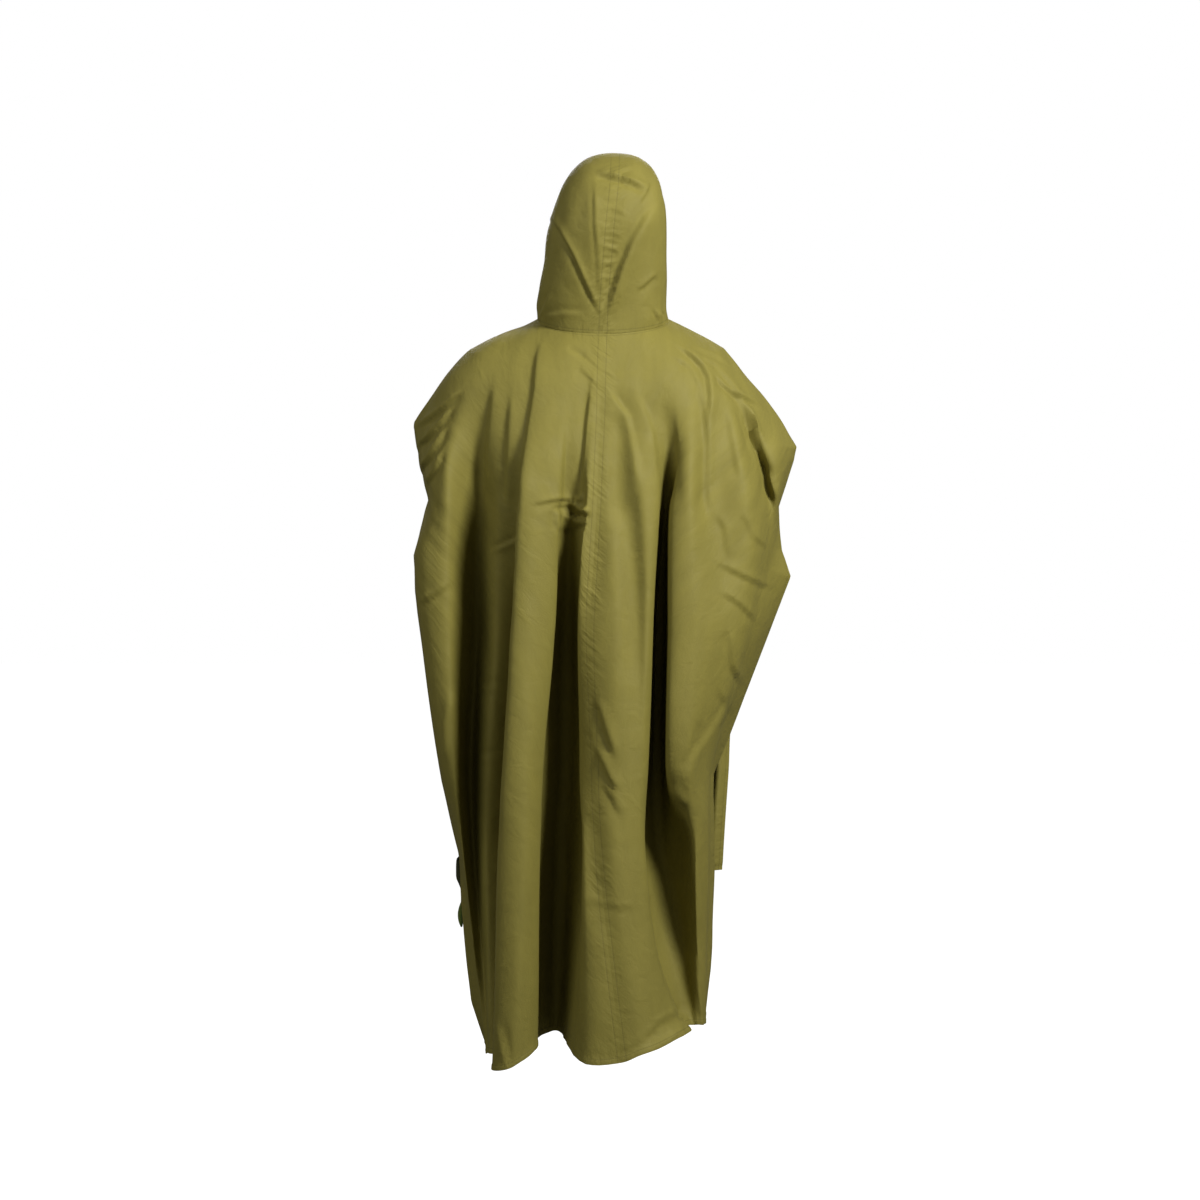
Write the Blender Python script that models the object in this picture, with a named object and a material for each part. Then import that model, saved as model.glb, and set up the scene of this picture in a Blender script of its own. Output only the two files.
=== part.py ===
"""Hooded poncho of light woven cloth, as it hangs on someone who stands with the hood up and both
elbows held out.

Metres, +Z up. The front faces -Y and the wearer's left is +X. The origin is the middle of the neck
opening, where the wearer holds the garment.

The body is cut as two long halves, each from the front hem over one shoulder to the back hem, and
they are joined by a seam down the centre back and the centre front. The sides are open below the
elbows, which makes the armholes. The hood is two shaped pieces with a seam over the crown. A short
tape ties the left side shut below the armhole, and its tail hangs with a leaf-shaped end.
"""

import math

import bpy
from mathutils import Vector

MM = 0.001

CLOTH = 1.5 * MM  # thickness of every cloth wall
HEM_EXTRA = 0.8 * MM  # how much thicker the cloth is where its hem is turned up
SEAM_GAP = 0.3 * MM  # between two pieces that are sewn together
MOST_TURNED = 0.4  # the cosine that limits how far a sharp fold's inner corner goes in

# The neck opening is a tilted ring: high at the sides, low in front.
NECK_WIDTH = 112 * MM  # half of it
NECK_BACK = 85 * MM  # from the origin to the nape, and as far to the throat

BACK_HEM = -1190 * MM
FRONT_HEM = -920 * MM
FREE_BELOW = -800 * MM  # from here down each fold of the back falls to its own hem height

# Sections of the body from the neck seam to the back hem, in millimetres: their height at the centre
# back, at the left side, at the right side and at the centre front, and the rings up to the next.
# Below the armhole's top the front has the same number of rings, spread down to its own hem.
SECTIONS = (
    # name              back    left   right   front  rings
    ("neck seam",          0,     36,     36,    -40,  3),
    ("shoulder",         -68,    -20,    -24,   -108,  2),
    ("upper arm",       -112,    -78,    -80,   -150,  2),
    ("left elbow",      -165,   -136,   -152,   -195,  1),
    ("right elbow",     -195,   -165,   -179,   -222,  3),
    ("armhole notch",   -285,   -272,   -283,      0,  3),
    ("forearm",         -385,   -367,   -403,      0,  3),
    ("hip",             -520,   -520,   -530,      0,  3),
    ("knee",            -690,   -690,   -690,      0,  3),
    ("side tie",        -800,   -800,   -800,      0,  2),
    ("calf",            -930,   -930,   -930,      0,  3),
    ("hem turn",       -1178,  -1178,  -1178,      0,  1),
    ("hem",            -1190,  -1190,  -1190,      0,  0),
)
TOP_SECTION = 2  # the upper arm: above it the folds run in to the neck seam
ARMHOLE_SECTION = 4  # the right elbow: below it front and back are apart at the sides

# The side edges as they show from behind, in millimetres: height, half width, and depth (Y).
LEFT_EDGE = (
    # z      x     y
    (36,    112,    0),
    (25,    135,   -3),
    (4,     192,   -8),
    (-15,   233,  -14),
    (-53,   271,  -24),
    (-98,   302,  -38),
    (-136,  330,  -50),  # the elbow
    (-209,  319,  -48),
    (-272,  304,  -42),  # the armhole notch
    (-312,  314,  -50),
    (-367,  330,  -56),  # over the forearm
    (-431,  328,  -54),
    (-585,  308,  -46),
    (-756,  282,  -38),
    (-888,  249,  -35),  # the side tie
    (-1023, 240,  -35),
    (-1139, 228,  -35),
    (-1216, 203,  -35),
)
RIGHT_EDGE = (
    # z      x     y
    (36,    112,    0),
    (15,    157,   -5),
    (4,     180,   -8),
    (-12,   212,  -12),
    (-52,   240,  -24),
    (-93,   280,  -36),
    (-122,  302,  -44),
    (-179,  336,  -54),  # the elbow
    (-202,  332,  -54),
    (-283,  306,  -44),  # the armhole notch
    (-359,  312,  -50),
    (-404,  327,  -56),  # over the forearm
    (-480,  297,  -52),
    (-593,  253,  -44),
    (-687,  216,  -36),
    (-744,  193,  -30),
    (-909,  192,  -30),
    (-1083, 186,  -30),
    (-1165, 175,  -30),
)

# The folds of the back, one row each from the centre seam to the side, in millimetres. Each fold is
# followed at seven heights: how far it is from the middle, then how far back it stands, and last the
# height of the hem there. A fold that is further out than the next one is tucked under it.
FOLD_HEIGHTS = (-100, -200, -310, -500, -720, -850, -1190)
LEFT_FOLDS = (
    # name             x at each height                      depth at each height                 hem
    ("centre seam",    (2, 8, 10, 23, 15, 7, -31),          (122, 140, 150, 150, 152, 158, 182), -1192),
    ("seam column",    (12, 23, 27, 43, 40, 30, 21),        (127, 150, 163, 161, 158, 162, 168), -1196),
    ("under it",       (18, 28, 31, 35, 31, 28, 58),        (120, 138, 138, 112, 105, 104, 108), -1177),
    ("centre valley",  (35, 41, 51, 61, 63, 71, 86),        (116, 130, 118, 72, 50, 50, 70),     -1169),
    ("under B",        (50, 59, 69, 84, 107, 114, 116),     (118, 132, 130, 108, 106, 104, 105), -1174),
    ("B right edge",   (58, 66, 74, 79, 99, 102, 109),      (123, 142, 150, 148, 150, 150, 150), -1179),
    ("B crown",        (91, 102, 116, 120, 124, 125, 147),  (129, 158, 173, 181, 187, 190, 192), -1203),
    ("B left edge",    (112, 127, 139, 147, 158, 167, 180), (125, 150, 158, 158, 160, 160, 158), -1213),
    ("under B, left",  (120, 135, 137, 139, 149, 160, 174), (116, 130, 122, 108, 110, 112, 112), -1202),
    ("dim ridge",      (163, 172, 175, 180, 196, 206, 185), (103, 118, 118, 98, 88, 82, 90),     -1202),
    ("side valley",    (211, 206, 205, 213, 228, 221, 190), (80, 84, 70, 40, 34, 42, 66),        -1206),
    ("A crown",        (234, 249, 264, 271, 254, 239, 195), (66, 92, 104, 96, 80, 64, 48),       -1210),
    ("elbow crease",   (251, 274, 289, 292, 272, 243, 196), (42, 50, 52, 50, 44, 34, 22),        -1212),
    ("elbow facet",    (266, 290, 295, 300, 278, 247, 198), (22, 30, 18, 12, 8, 4, -5),          -1214),
)
RIGHT_FOLDS = (
    # name             x at each height                      depth at each height                 hem
    ("D crown",        (5, 10, 17, 31, 31, 25, 61),         (122, 143, 157, 172, 180, 185, 188), -1179),
    ("small crease",   (15, 31, 51, 63, 61, 51, 94),        (115, 134, 146, 156, 164, 173, 176), -1170),
    ("small ridge",    (41, 64, 74, 78, 66, 64, 127),       (123, 146, 160, 164, 160, 160, 150), -1161),
    ("D right edge",   (78, 99, 91, 87, 73, 73, 153),       (112, 130, 146, 148, 138, 134, 105), -1160),
    ("under D",        (94, 107, 94, 81, 63, 61, 142),      (108, 112, 108, 102, 98, 94, 88),    -1160),
    ("side valley",    (112, 114, 102, 94, 89, 91, 148),    (106, 100, 82, 52, 46, 46, 72),      -1160),
    ("far side of it", (117, 117, 106, 102, 99, 104, 155),  (108, 105, 88, 58, 54, 44, 64),      -1160),
    ("F left edge",    (123, 122, 114, 114, 113, 134, 163), (112, 128, 134, 140, 136, 70, 62),   -1159),
    ("F crown",        (136, 140, 141, 146, 140, 150, 169), (118, 150, 168, 174, 166, 106, 58),  -1160),
    ("F crease",       (177, 180, 180, 200, 160, 163, 172), (92, 110, 126, 136, 128, 112, 50),   -1160),
    ("F side",         (205, 226, 246, 234, 180, 175, 174), (84, 112, 112, 100, 84, 76, 40),     -1161),
    ("elbow crease",   (234, 266, 287, 254, 187, 180, 175), (50, 48, 30, 50, 44, 40, 22),        -1162),
    ("elbow facet",    (254, 290, 292, 268, 190, 184, 175), (46, 58, 14, 20, 10, 8, 2),          -1163),
)

# The front, in millimetres. Its depth at the centre, by height; its side edges below the armhole's
# top, by height; and its folds, as shares of the half width at the top and at the hem, with how far
# each stands out at the hem.
FRONT_DEPTH = ((-40, -85), (-100, -118), (-170, -160), (-250, -205), (-330, -238), (-420, -252), (-920, -262))
FRONT_EDGES = (
    # z     left x  left y  right x  right y
    (-165,   326,    -49,     334,    -54),
    (-255,   300,    -78,     303,    -82),
    (-380,   316,   -115,     312,   -115),
    (-540,   302,   -110,     262,   -112),
    (-650,   288,   -100,     229,   -108),
    (-750,   275,    -84,     222,   -104),
    (-840,   256,    -68,     215,   -100),
    (-920,   246,    -60,     210,   -100),
)
FRONT_FOLDS_LEFT = (
    # name        top    hem   stands out
    ("ridge 1",  0.14,  0.15,  14),
    ("valley 1", 0.27,  0.30, -48),
    ("ridge 2",  0.42,  0.44,  16),
    ("valley 2", 0.56,  0.57, -54),
    ("ridge 3",  0.70,  0.69,   8),
    ("valley 3", 0.82,  0.79, -26),
    ("ridge 4",  0.92,  0.90,  -6),
)
FRONT_FOLDS_RIGHT = (
    # name        top    hem   stands out
    ("ridge 1",  0.12,  0.18,  10),
    ("valley 1", 0.25,  0.32, -52),
    ("ridge 2",  0.38,  0.45,  14),
    ("valley 2", 0.53,  0.58, -40),
    ("ridge 3",  0.68,  0.71,   6),
    ("valley 3", 0.80,  0.81, -22),
    ("ridge 4",  0.91,  0.91,  -8),
)
FRONT_SEAM_STANDS_OUT = -12
FRONT_FOLDS_START = -90  # height where the front's folds begin, and where they are at full depth
FRONT_FOLDS_FULL = -640

# The hood's sections from the neck seam over the head to its front edge, in millimetres: the point on
# the crown seam, the middle and half width at the widest place, and the point on the face edge.
HOOD_SECTIONS = (
    # name       seam x    y    z   middle x    y    z   half   face x    y     z
    ("neck",         0,   85,   0,      0,      0,  36,  112,      4,   -85,  -40),
    ("collar",      -1,   93,  40,      0,      2,  56,  116,     40,  -108,   10),
    ("jaw",         -4,  108,  85,      0,      4,  90,  109,     68,  -114,   70),
    ("ear",         -8,  122, 130,     -3,      6, 128,  104,     78,  -112,  125),
    ("temple",     -12,  130, 180,     -5,      4, 168,  102,     80,  -110,  170),
    ("brow",       -18,  121, 236,     -8,     -2, 206,   97,     77,  -108,  208),
    ("upper",      -20,   92, 282,    -12,    -16, 236,   88,     72,  -107,  232),
    ("crown",      -21,   40, 311,    -16,    -38, 255,   77,     66,  -106,  247),
    ("top",        -21,  -20, 317,    -18,    -66, 264,   65,     60,  -105,  256),
    ("front edge", -20, -102, 290,    -20,   -105, 262,   50,     50,  -105,  262),
)
HOOD_ROWS_PER_SECTION = 2
HOOD_COLUMNS = 17  # from the seam to the face edge

# Folds that run up the back of the hood from the nape, in millimetres: both ends as (x, z), how wide
# the trough is on each side, and its depth.
HOOD_FOLDS = (
    # name         from       to          width  depth
    ("left fold",  (6, 20),   (84, 190),  15,    7),
    ("right fold", (-8, 20),  (-78, 225), 15,    6),
)

BACK_STEPS = 2  # columns between two folds of the back
FRONT_STEPS = 2

# The side tie: a tape over the open left side, its tail, and the leaf-shaped end of that. The tail
# and the end are rows of x, z and width in millimetres, with their flat faces to the back.
TIE_TOP = -880 * MM
TIE_WIDTH = 9 * MM
TIE_THICK = 1.2 * MM
TIE_OVERLAP = 16 * MM  # on the cloth at each side of the slit
TIE_CLEARANCE = 0.35 * MM  # from the tape to the cloth below it
TAIL_Y = -50 * MM
TAIL = ((247.5, -889.8, 10), (247, -905, 10), (246.5, -928, 10), (243, -938, 7), (240, -947, 4), (240, -970.8, 4))
LEAF = ((240.2, -971.1, 5), (241.5, -980, 8.5), (243, -990, 9.5), (242.5, -1003, 8), (241.5, -1013, 3.5))
LEAF_THICK = 2.4 * MM


def principled(name, colour, roughness):
    material = bpy.data.materials.new(name)
    material.use_nodes = True
    shader = material.node_tree.nodes["Principled BSDF"]
    shader.inputs["Base Color"].default_value = (*colour, 1)
    shader.inputs["Roughness"].default_value = roughness
    shader.inputs["Metallic"].default_value = 0
    material.diffuse_color = (*colour, 1)
    return material


def straight(at, places, values):
    """The value at a place, on straight lines between (place, value) pairs that fall from the top."""
    for (p, q), (v, w) in zip(zip(places, places[1:]), zip(values, values[1:])):
        if at >= q:
            return v + (w - v) * min(1, max(0, (p - at) / (p - q)))
    return values[-1]


def smooth(at, places, values):
    """The same, on a smooth curve through the pairs."""
    at = min(places[0], max(places[-1], at))
    k = next(i for i in range(len(places) - 1) if at >= places[i + 1])

    def slope(i):
        i0, i1 = max(i - 1, 0), min(i + 1, len(places) - 1)
        return (values[i1] - values[i0]) / (places[i1] - places[i0])

    gap = places[k + 1] - places[k]
    t = (at - places[k]) / gap
    return (
        values[k] * (2 * t**3 - 3 * t**2 + 1)
        + values[k + 1] * (3 * t**2 - 2 * t**3)
        + slope(k) * gap * (t**3 - 2 * t**2 + t)
        + slope(k + 1) * gap * (t**3 - t**2)
    )


def through(points, steps):
    """Points on a rounded curve through the given ones, with so many steps between two of them."""
    ends = [2 * points[0] - points[1], *points, 2 * points[-1] - points[-2]]
    curve = []
    for a, b, c, d in zip(ends, ends[1:], ends[2:], ends[3:]):
        t1 = math.sqrt((b - a).length)
        t2 = t1 + math.sqrt((c - b).length)
        t3 = t2 + math.sqrt((d - c).length)
        for step in range(steps):
            t = t1 + (t2 - t1) * step / steps
            ab = a.lerp(b, t / t1)
            bc = b.lerp(c, (t - t1) / (t2 - t1))
            cd = c.lerp(d, (t - t2) / (t3 - t2))
            abc = ab.lerp(bc, t / t2)
            bcd = bc.lerp(cd, (t - t1) / (t3 - t1))
            curve.append(abc.lerp(bcd, (t - t1) / (t2 - t1)))
    return [*curve, points[-1]]


def rings():
    """Every ring of the body, as (back, left, right, front) heights and its place among the sections."""
    rows = []
    for number, (section, below) in enumerate(zip(SECTIONS, SECTIONS[1:])):
        for step in range(section[5]):
            share = step / section[5]
            heights = [a + (b - a) * share for a, b in zip(section[1:5], below[1:5])]
            rows.append((*heights, number + share))
    rows.append((*SECTIONS[-1][1:5], len(SECTIONS) - 1))
    return rows


def side_edge(side, height):
    table = LEFT_EDGE if side > 0 else RIGHT_EDGE
    places = [row[0] for row in table]
    x = straight(height, places, [row[1] for row in table])
    y = straight(height, places, [row[2] for row in table])
    return x, y


def tilted(edge_z, middle_z, share):
    """The height of a ring at a share of its half width: its middle is higher or lower than its ends."""
    return edge_z + (middle_z - edge_z) * math.sqrt(max(0, 1 - share * share))


def hung(height, hem):
    """A height below the side tie, moved so that the cloth ends at its own hem."""
    free = FREE_BELOW / MM
    if height > free:
        return height
    return free + (height - free) * (hem - free) / (BACK_HEM / MM - free)


def back_point(fold, ring, side):
    """Where a fold of the back crosses a ring."""
    name, across, depth, hem = fold
    back, _, _, _, place = ring
    edge_z = ring[1] if side > 0 else ring[2]
    edge_x, edge_y = side_edge(side, edge_z)
    top = SECTIONS[TOP_SECTION]
    if place <= TOP_SECTION:
        top_edge = side_edge(side, top[2] if side > 0 else top[3])[0]
        share = smooth(top[1], FOLD_HEIGHTS, across) / top_edge
        share = max(-1, min(1, share))
        if name == "centre seam":
            share *= place / TOP_SECTION
        z = tilted(edge_z, back, share)
        x = share * edge_x
        outward = math.sin(math.pi / 2 * place / TOP_SECTION)
        neck_y = NECK_BACK / MM * math.sqrt(1 - share * share)
        y = neck_y + (smooth(top[1], FOLD_HEIGHTS, depth) - neck_y) * outward
    else:
        z = back
        for _ in range(4):
            x = smooth(z, FOLD_HEIGHTS, across)
            z = tilted(edge_z, back, min(1, abs(x) / edge_x))
        y = smooth(z, FOLD_HEIGHTS, depth)
    return Vector((side * x, y, hung(z, hem))) * MM


def back_edge_point(ring, side):
    z = ring[1] if side > 0 else ring[2]
    if z <= FREE_BELOW / MM:
        z = hung(z, (LEFT_EDGE if side > 0 else RIGHT_EDGE)[-1][0])
    x, y = side_edge(side, z)
    return Vector((side * x, y, z)) * MM


def front_heights(ring, side):
    """The heights of a front ring at its side edge and at the centre."""
    back, left, right, front, place = ring
    edge = left if side > 0 else right
    if place <= ARMHOLE_SECTION:
        return edge, front
    top = SECTIONS[ARMHOLE_SECTION]
    top_edge = top[2] if side > 0 else top[3]
    hem, back_hem = FRONT_HEM / MM, BACK_HEM / MM
    edge = top_edge + (edge - top_edge) * (hem - top_edge) / (back_hem - top_edge)
    middle = top[4] + (back - top[1]) * (hem - top[4]) / (back_hem - top[1])
    return edge, middle


def front_edge_point(ring, side):
    if ring[4] <= ARMHOLE_SECTION:
        return back_edge_point(ring, side)
    z = front_heights(ring, side)[0]
    places = [row[0] for row in FRONT_EDGES]
    column = 1 if side > 0 else 3
    x = smooth(z, places, [row[column] for row in FRONT_EDGES])
    y = smooth(z, places, [row[column + 1] for row in FRONT_EDGES])
    return Vector((side * x, y, z)) * MM


def front_point(fold, ring, side):
    """Where a fold of the front crosses a ring."""
    name, top, hem, stands_out = fold
    place = ring[4]
    edge = front_edge_point(ring, side)
    edge_z, middle = front_heights(ring, side)
    share = top + (hem - top) * place / (len(SECTIONS) - 1)
    z = tilted(edge_z, middle, share)
    squareness = 2 + 0.6 * min(1, place / ARMHOLE_SECTION)
    bow = (1 - share**squareness) ** (1 / squareness)
    depths = [row[1] for row in FRONT_DEPTH]
    centre = smooth(middle, [row[0] for row in FRONT_DEPTH], depths)
    y = edge.y / MM + (centre - edge.y / MM) * bow
    grown = min(1, max(0, (FRONT_FOLDS_START - z) / (FRONT_FOLDS_START - FRONT_FOLDS_FULL)))
    y -= stands_out * grown * grown * (3 - 2 * grown)
    return Vector((share * edge.x / MM, y, z)) * MM


class Surface:
    """Points in rows, and the four-cornered faces between them, with the outer side known."""

    def __init__(self):
        self.points = []
        self.faces = []

    def add_row(self, row):
        self.points += row
        return list(range(len(self.points) - len(row), len(self.points)))

    def add_band(self, upper, lower):
        """Faces between two rows whose points run anticlockwise seen from above."""
        for a, b, c, d in zip(upper, upper[1:], lower[1:], lower):
            self.faces.append((a, b, c, d))

    def outward(self):
        """For each point the way out of the cloth, longer at a sharp fold so that a wall which goes
        back along it keeps its thickness there."""
        turns = [[] for _ in self.points]
        for a, b, c, d in self.faces:
            turn = (self.points[c] - self.points[a]).cross(self.points[d] - self.points[b]).normalized()
            for corner in (a, b, c, d):
                turns[corner].append(turn)
        ways = []
        for beside in turns:
            way = sum(beside, Vector()).normalized()
            flat = sum(way.dot(turn) for turn in beside) / len(beside)
            ways.append(way / max(flat, MOST_TURNED))
        return ways


def cloth(name, surface, faces, seams, thick_rows, material, thickness=CLOTH):
    """A closed cloth wall from some faces of a surface: its outer side is the surface itself.

    seams are points on the edge of this piece that another piece shares; they draw back by half the
    seam gap. thick_rows are points where a turned hem makes the wall thicker."""
    outward = surface.outward()
    used = sorted({corner for face in faces for corner in face})
    place = {old: new for new, old in enumerate(used)}
    outer = {old: surface.points[old].copy() for old in used}
    for old in seams & set(used):
        beside = [c for face in faces if old in face for c in face if c not in seams]
        middle = sum((surface.points[c] for c in beside), Vector()) / len(beside)
        outer[old] += (middle - outer[old]).normalized() * SEAM_GAP / 2
    inner = {}
    for old in used:
        turned = HEM_EXTRA if old in thick_rows else 0
        inner[old] = outer[old] - outward[old] * (thickness + turned)
    count = len(used)
    triangles = []
    edges = {}
    for a, b, c, d in faces:
        for p, q in ((a, b), (b, c), (c, d), (d, a)):
            edges[p, q] = edges.get((p, q), 0) + 1
        for tri in ((a, b, c), (a, c, d)):
            p, q, r = (place[t] for t in tri)
            triangles += [(p, q, r), (r + count, q + count, p + count)]
    for p, q in edges:
        if (q, p) not in edges:
            p, q = place[p], place[q]
            triangles += [(q, p, p + count), (q, p + count, q + count)]
    mesh = bpy.data.meshes.new(name)
    mesh.from_pydata([outer[o] for o in used] + [inner[o] for o in used], [], triangles)
    mesh.materials.append(material)
    mesh.shade_smooth()
    mesh.set_sharp_from_angle(angle=math.radians(50))
    piece = bpy.data.objects.new(name, mesh)
    bpy.context.scene.collection.objects.link(piece)
    return piece


def body(material):
    """Both body halves, from one surface that goes all round the wearer."""
    surface = Surface()
    back_rows, front_rows, seam = [], [], set()
    for ring in rings():
        left = [back_point(fold, ring, 1) for fold in LEFT_FOLDS] + [back_edge_point(ring, 1)]
        right = [back_point(fold, ring, -1) for fold in RIGHT_FOLDS] + [back_edge_point(ring, -1)]
        back = through([*reversed(right), *left], BACK_STEPS)
        row = surface.add_row(back)
        back_rows.append(row)
        middle = len(RIGHT_FOLDS) + 1
        seam.add(row[middle * BACK_STEPS])

        throat = ("centre seam", 0, 0, FRONT_SEAM_STANDS_OUT)
        ahead = [front_point(fold, ring, 1) for fold in (throat, *FRONT_FOLDS_LEFT)]
        behind = [front_point(fold, ring, -1) for fold in FRONT_FOLDS_RIGHT]
        chain = [front_edge_point(ring, 1), *reversed(ahead), *behind, front_edge_point(ring, -1)]
        front = through(chain, FRONT_STEPS)
        if ring[4] <= ARMHOLE_SECTION:
            inside = surface.add_row(front[1:-1])
            row = [row[-1], *inside, row[0]]
        else:
            row = surface.add_row(front)
        front_rows.append(row)
        seam.add(row[(len(FRONT_FOLDS_LEFT) + 1) * FRONT_STEPS])

    hems = {point for rows in (back_rows, front_rows) for row in rows[-2:] for point in row}
    back_seam = (len(RIGHT_FOLDS) + 1) * BACK_STEPS
    front_seam = (len(FRONT_FOLDS_LEFT) + 1) * FRONT_STEPS
    halves = {"body_left": [], "body_right": []}
    for rows, half_at, first, second in (
        (back_rows, back_seam, "body_right", "body_left"),
        (front_rows, front_seam, "body_left", "body_right"),
    ):
        for upper, lower in zip(rows, rows[1:]):
            begin = len(surface.faces)
            surface.add_band(upper, lower)
            halves[first] += surface.faces[begin : begin + half_at]
            halves[second] += surface.faces[begin + half_at :]
    for name, faces in halves.items():
        cloth(name, surface, faces, seam, hems, material)
    return surface, back_rows, front_rows


def hood_row(section, at_neck):
    """One row of the hood from the right face edge over the crown seam to the left one."""
    seam_x, seam_y, seam_z, mid_x, mid_y, mid_z, half, face_x, face_y, face_z = section
    seam, middle = Vector((seam_x, seam_y, seam_z)), Vector((mid_x, mid_y, mid_z))
    turn = math.pi - math.asin(min(1, face_x / half))
    angles = [turn * n / HOOD_COLUMNS for n in range(HOOD_COLUMNS + 1)]
    if at_neck:
        # The neck seam has a corner at each side, and a column meets it.
        angles[round(math.pi / 2 / turn * HOOD_COLUMNS)] = math.pi / 2
    row = []
    for side, angle in [(-1, a) for a in reversed(angles)] + [(1, a) for a in angles[1:]]:
        point = middle + Vector((side * half * math.sin(angle), 0, 0))
        if angle < math.pi / 2:
            point += (seam - middle) * math.cos(angle)
        elif face_x < half:
            ahead = Vector((0, face_y - mid_y, face_z - mid_z))
            point += ahead * (math.cos(angle) / math.cos(turn))
        row.append(point * MM)
    return row


def hood_fold(point):
    """How deep the folds up the back of the hood are at a point of it."""
    deep = 0
    for name, start, end, width, depth in HOOD_FOLDS:
        a, b = Vector(start) * MM, Vector(end) * MM
        at = Vector((point.x, point.z)) - a
        along = at.dot(b - a) / (b - a).length_squared
        off = at.cross(b - a) / (b - a).length / (width * MM)
        beyond = max(0, -along, along - 1) * (b - a).length / (width * MM)
        deep += depth * MM * math.exp(-off * off - beyond * beyond)
    return deep


def hood(material):
    """Both hood pieces, from one surface."""
    surface = Surface()
    table = [row[1:] for row in HOOD_SECTIONS]
    order = [-i for i in range(len(table))]
    rows = []
    for step in range((len(table) - 1) * HOOD_ROWS_PER_SECTION + 1):
        at = -step / HOOD_ROWS_PER_SECTION
        section = [smooth(at, order, [row[k] for row in table]) for k in range(len(table[0]))]
        rows.append(hood_row(section, step == 0))
    for point in rows[0]:
        point.z += SEAM_GAP
    rows.reverse()
    numbered = [surface.add_row(row) for row in rows]
    for upper, lower in zip(numbered, numbered[1:]):
        surface.add_band(upper, lower)
    outward = surface.outward()
    at_neck = set(numbered[-1])
    for number, point in enumerate(surface.points):
        if point.y > 0 and number not in at_neck:
            surface.points[number] = point - outward[number] * hood_fold(point)
    seam = {row[HOOD_COLUMNS] for row in numbered}
    width = 2 * HOOD_COLUMNS
    right = [face for n, face in enumerate(surface.faces) if n % width < HOOD_COLUMNS]
    left = [face for n, face in enumerate(surface.faces) if n % width >= HOOD_COLUMNS]
    cloth("hood_right", surface, right, seam, set(), material)
    cloth("hood_left", surface, left, seam, set(), material)


def at_height(surface, outward, rows, column, z):
    """The point of a column of the body at a height, and the direction out of the cloth there."""
    for upper, lower in zip(rows, rows[1:]):
        a, b = upper[column], lower[column]
        high, low = surface.points[a], surface.points[b]
        if high.z >= z >= low.z:
            share = (high.z - z) / (high.z - low.z)
            return high.lerp(low, share), outward[a].lerp(outward[b], share).normalized()
    raise ValueError("no such height")


def side_tie(surface, back_rows, front_rows, material):
    """The tape over the slit of the left side, made from the points of the body below it."""
    outward = surface.outward()
    tape = Surface()
    lines = []
    for z in (TIE_TOP, TIE_TOP - TIE_WIDTH / 2, TIE_TOP - TIE_WIDTH):
        line = []
        for rows, edge, inward in ((front_rows, 0, 1), (back_rows, -1, -1)):
            near = at_height(surface, outward, rows, edge, z)
            far = at_height(surface, outward, rows, edge + inward, z)
            share = min(0.9, TIE_OVERLAP / (far[0] - near[0]).length)
            far = near[0].lerp(far[0], share), near[1].lerp(far[1], share).normalized()
            side = [place + out * (TIE_CLEARANCE + TIE_THICK) for place, out in (far, near)]
            line += side if inward > 0 else reversed(side)
        lines.append(tape.add_row(line))
    for upper, lower in zip(lines, lines[1:]):
        tape.add_band(upper[::-1], lower[::-1])
    cloth("side_tie", tape, tape.faces, set(), set(), material, TIE_THICK)


def strip(name, rows, thickness, material):
    """A flat strip that hangs down with its faces to the back and the front."""
    corners, faces = [], [(0, 1, 2, 3)]
    for x, z, width in rows:
        for a, b in ((-1, -1), (1, -1), (1, 1), (-1, 1)):
            corners.append(Vector(((x + a * width / 2) * MM, TAIL_Y + b * thickness / 2, z * MM)))
    for n in range(len(rows) - 1):
        for k in range(4):
            a, b = 4 * n + k, 4 * n + (k + 1) % 4
            faces.append((a, a + 4, b + 4, b))
    last = 4 * (len(rows) - 1)
    faces.append((last + 3, last + 2, last + 1, last))
    mesh = bpy.data.meshes.new(name)
    mesh.from_pydata(corners, [], faces)
    mesh.materials.append(material)
    piece = bpy.data.objects.new(name, mesh)
    bpy.context.scene.collection.objects.link(piece)
    return piece


for thing in list(bpy.data.objects):
    bpy.data.objects.remove(thing)
poncho_cloth = principled("poncho_cloth", (0.216, 0.188, 0.037), 0.62)
tie_tape = principled("tie_tape", (0.05, 0.055, 0.022), 0.8)
tie_leaf = principled("tie_leaf", (0.09, 0.127, 0.026), 0.55)
surface, back_rows, front_rows = body(poncho_cloth)
hood(poncho_cloth)
side_tie(surface, back_rows, front_rows, tie_tape)
strip("side_tie_tail", TAIL, TIE_THICK, tie_tape)
strip("side_tie_end", LEAF, LEAF_THICK, tie_leaf)
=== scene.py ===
"""The looks of the hooded poncho: its cloth, seams and tie, the floor, the light and the camera.

Metres, +Z up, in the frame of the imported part. The front of the garment faces -Y, the wearer's left
is +X, and the photograph shows the back.
"""

import math
from functools import partialmethod

import bpy
import numpy as np
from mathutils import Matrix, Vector, noise


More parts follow.
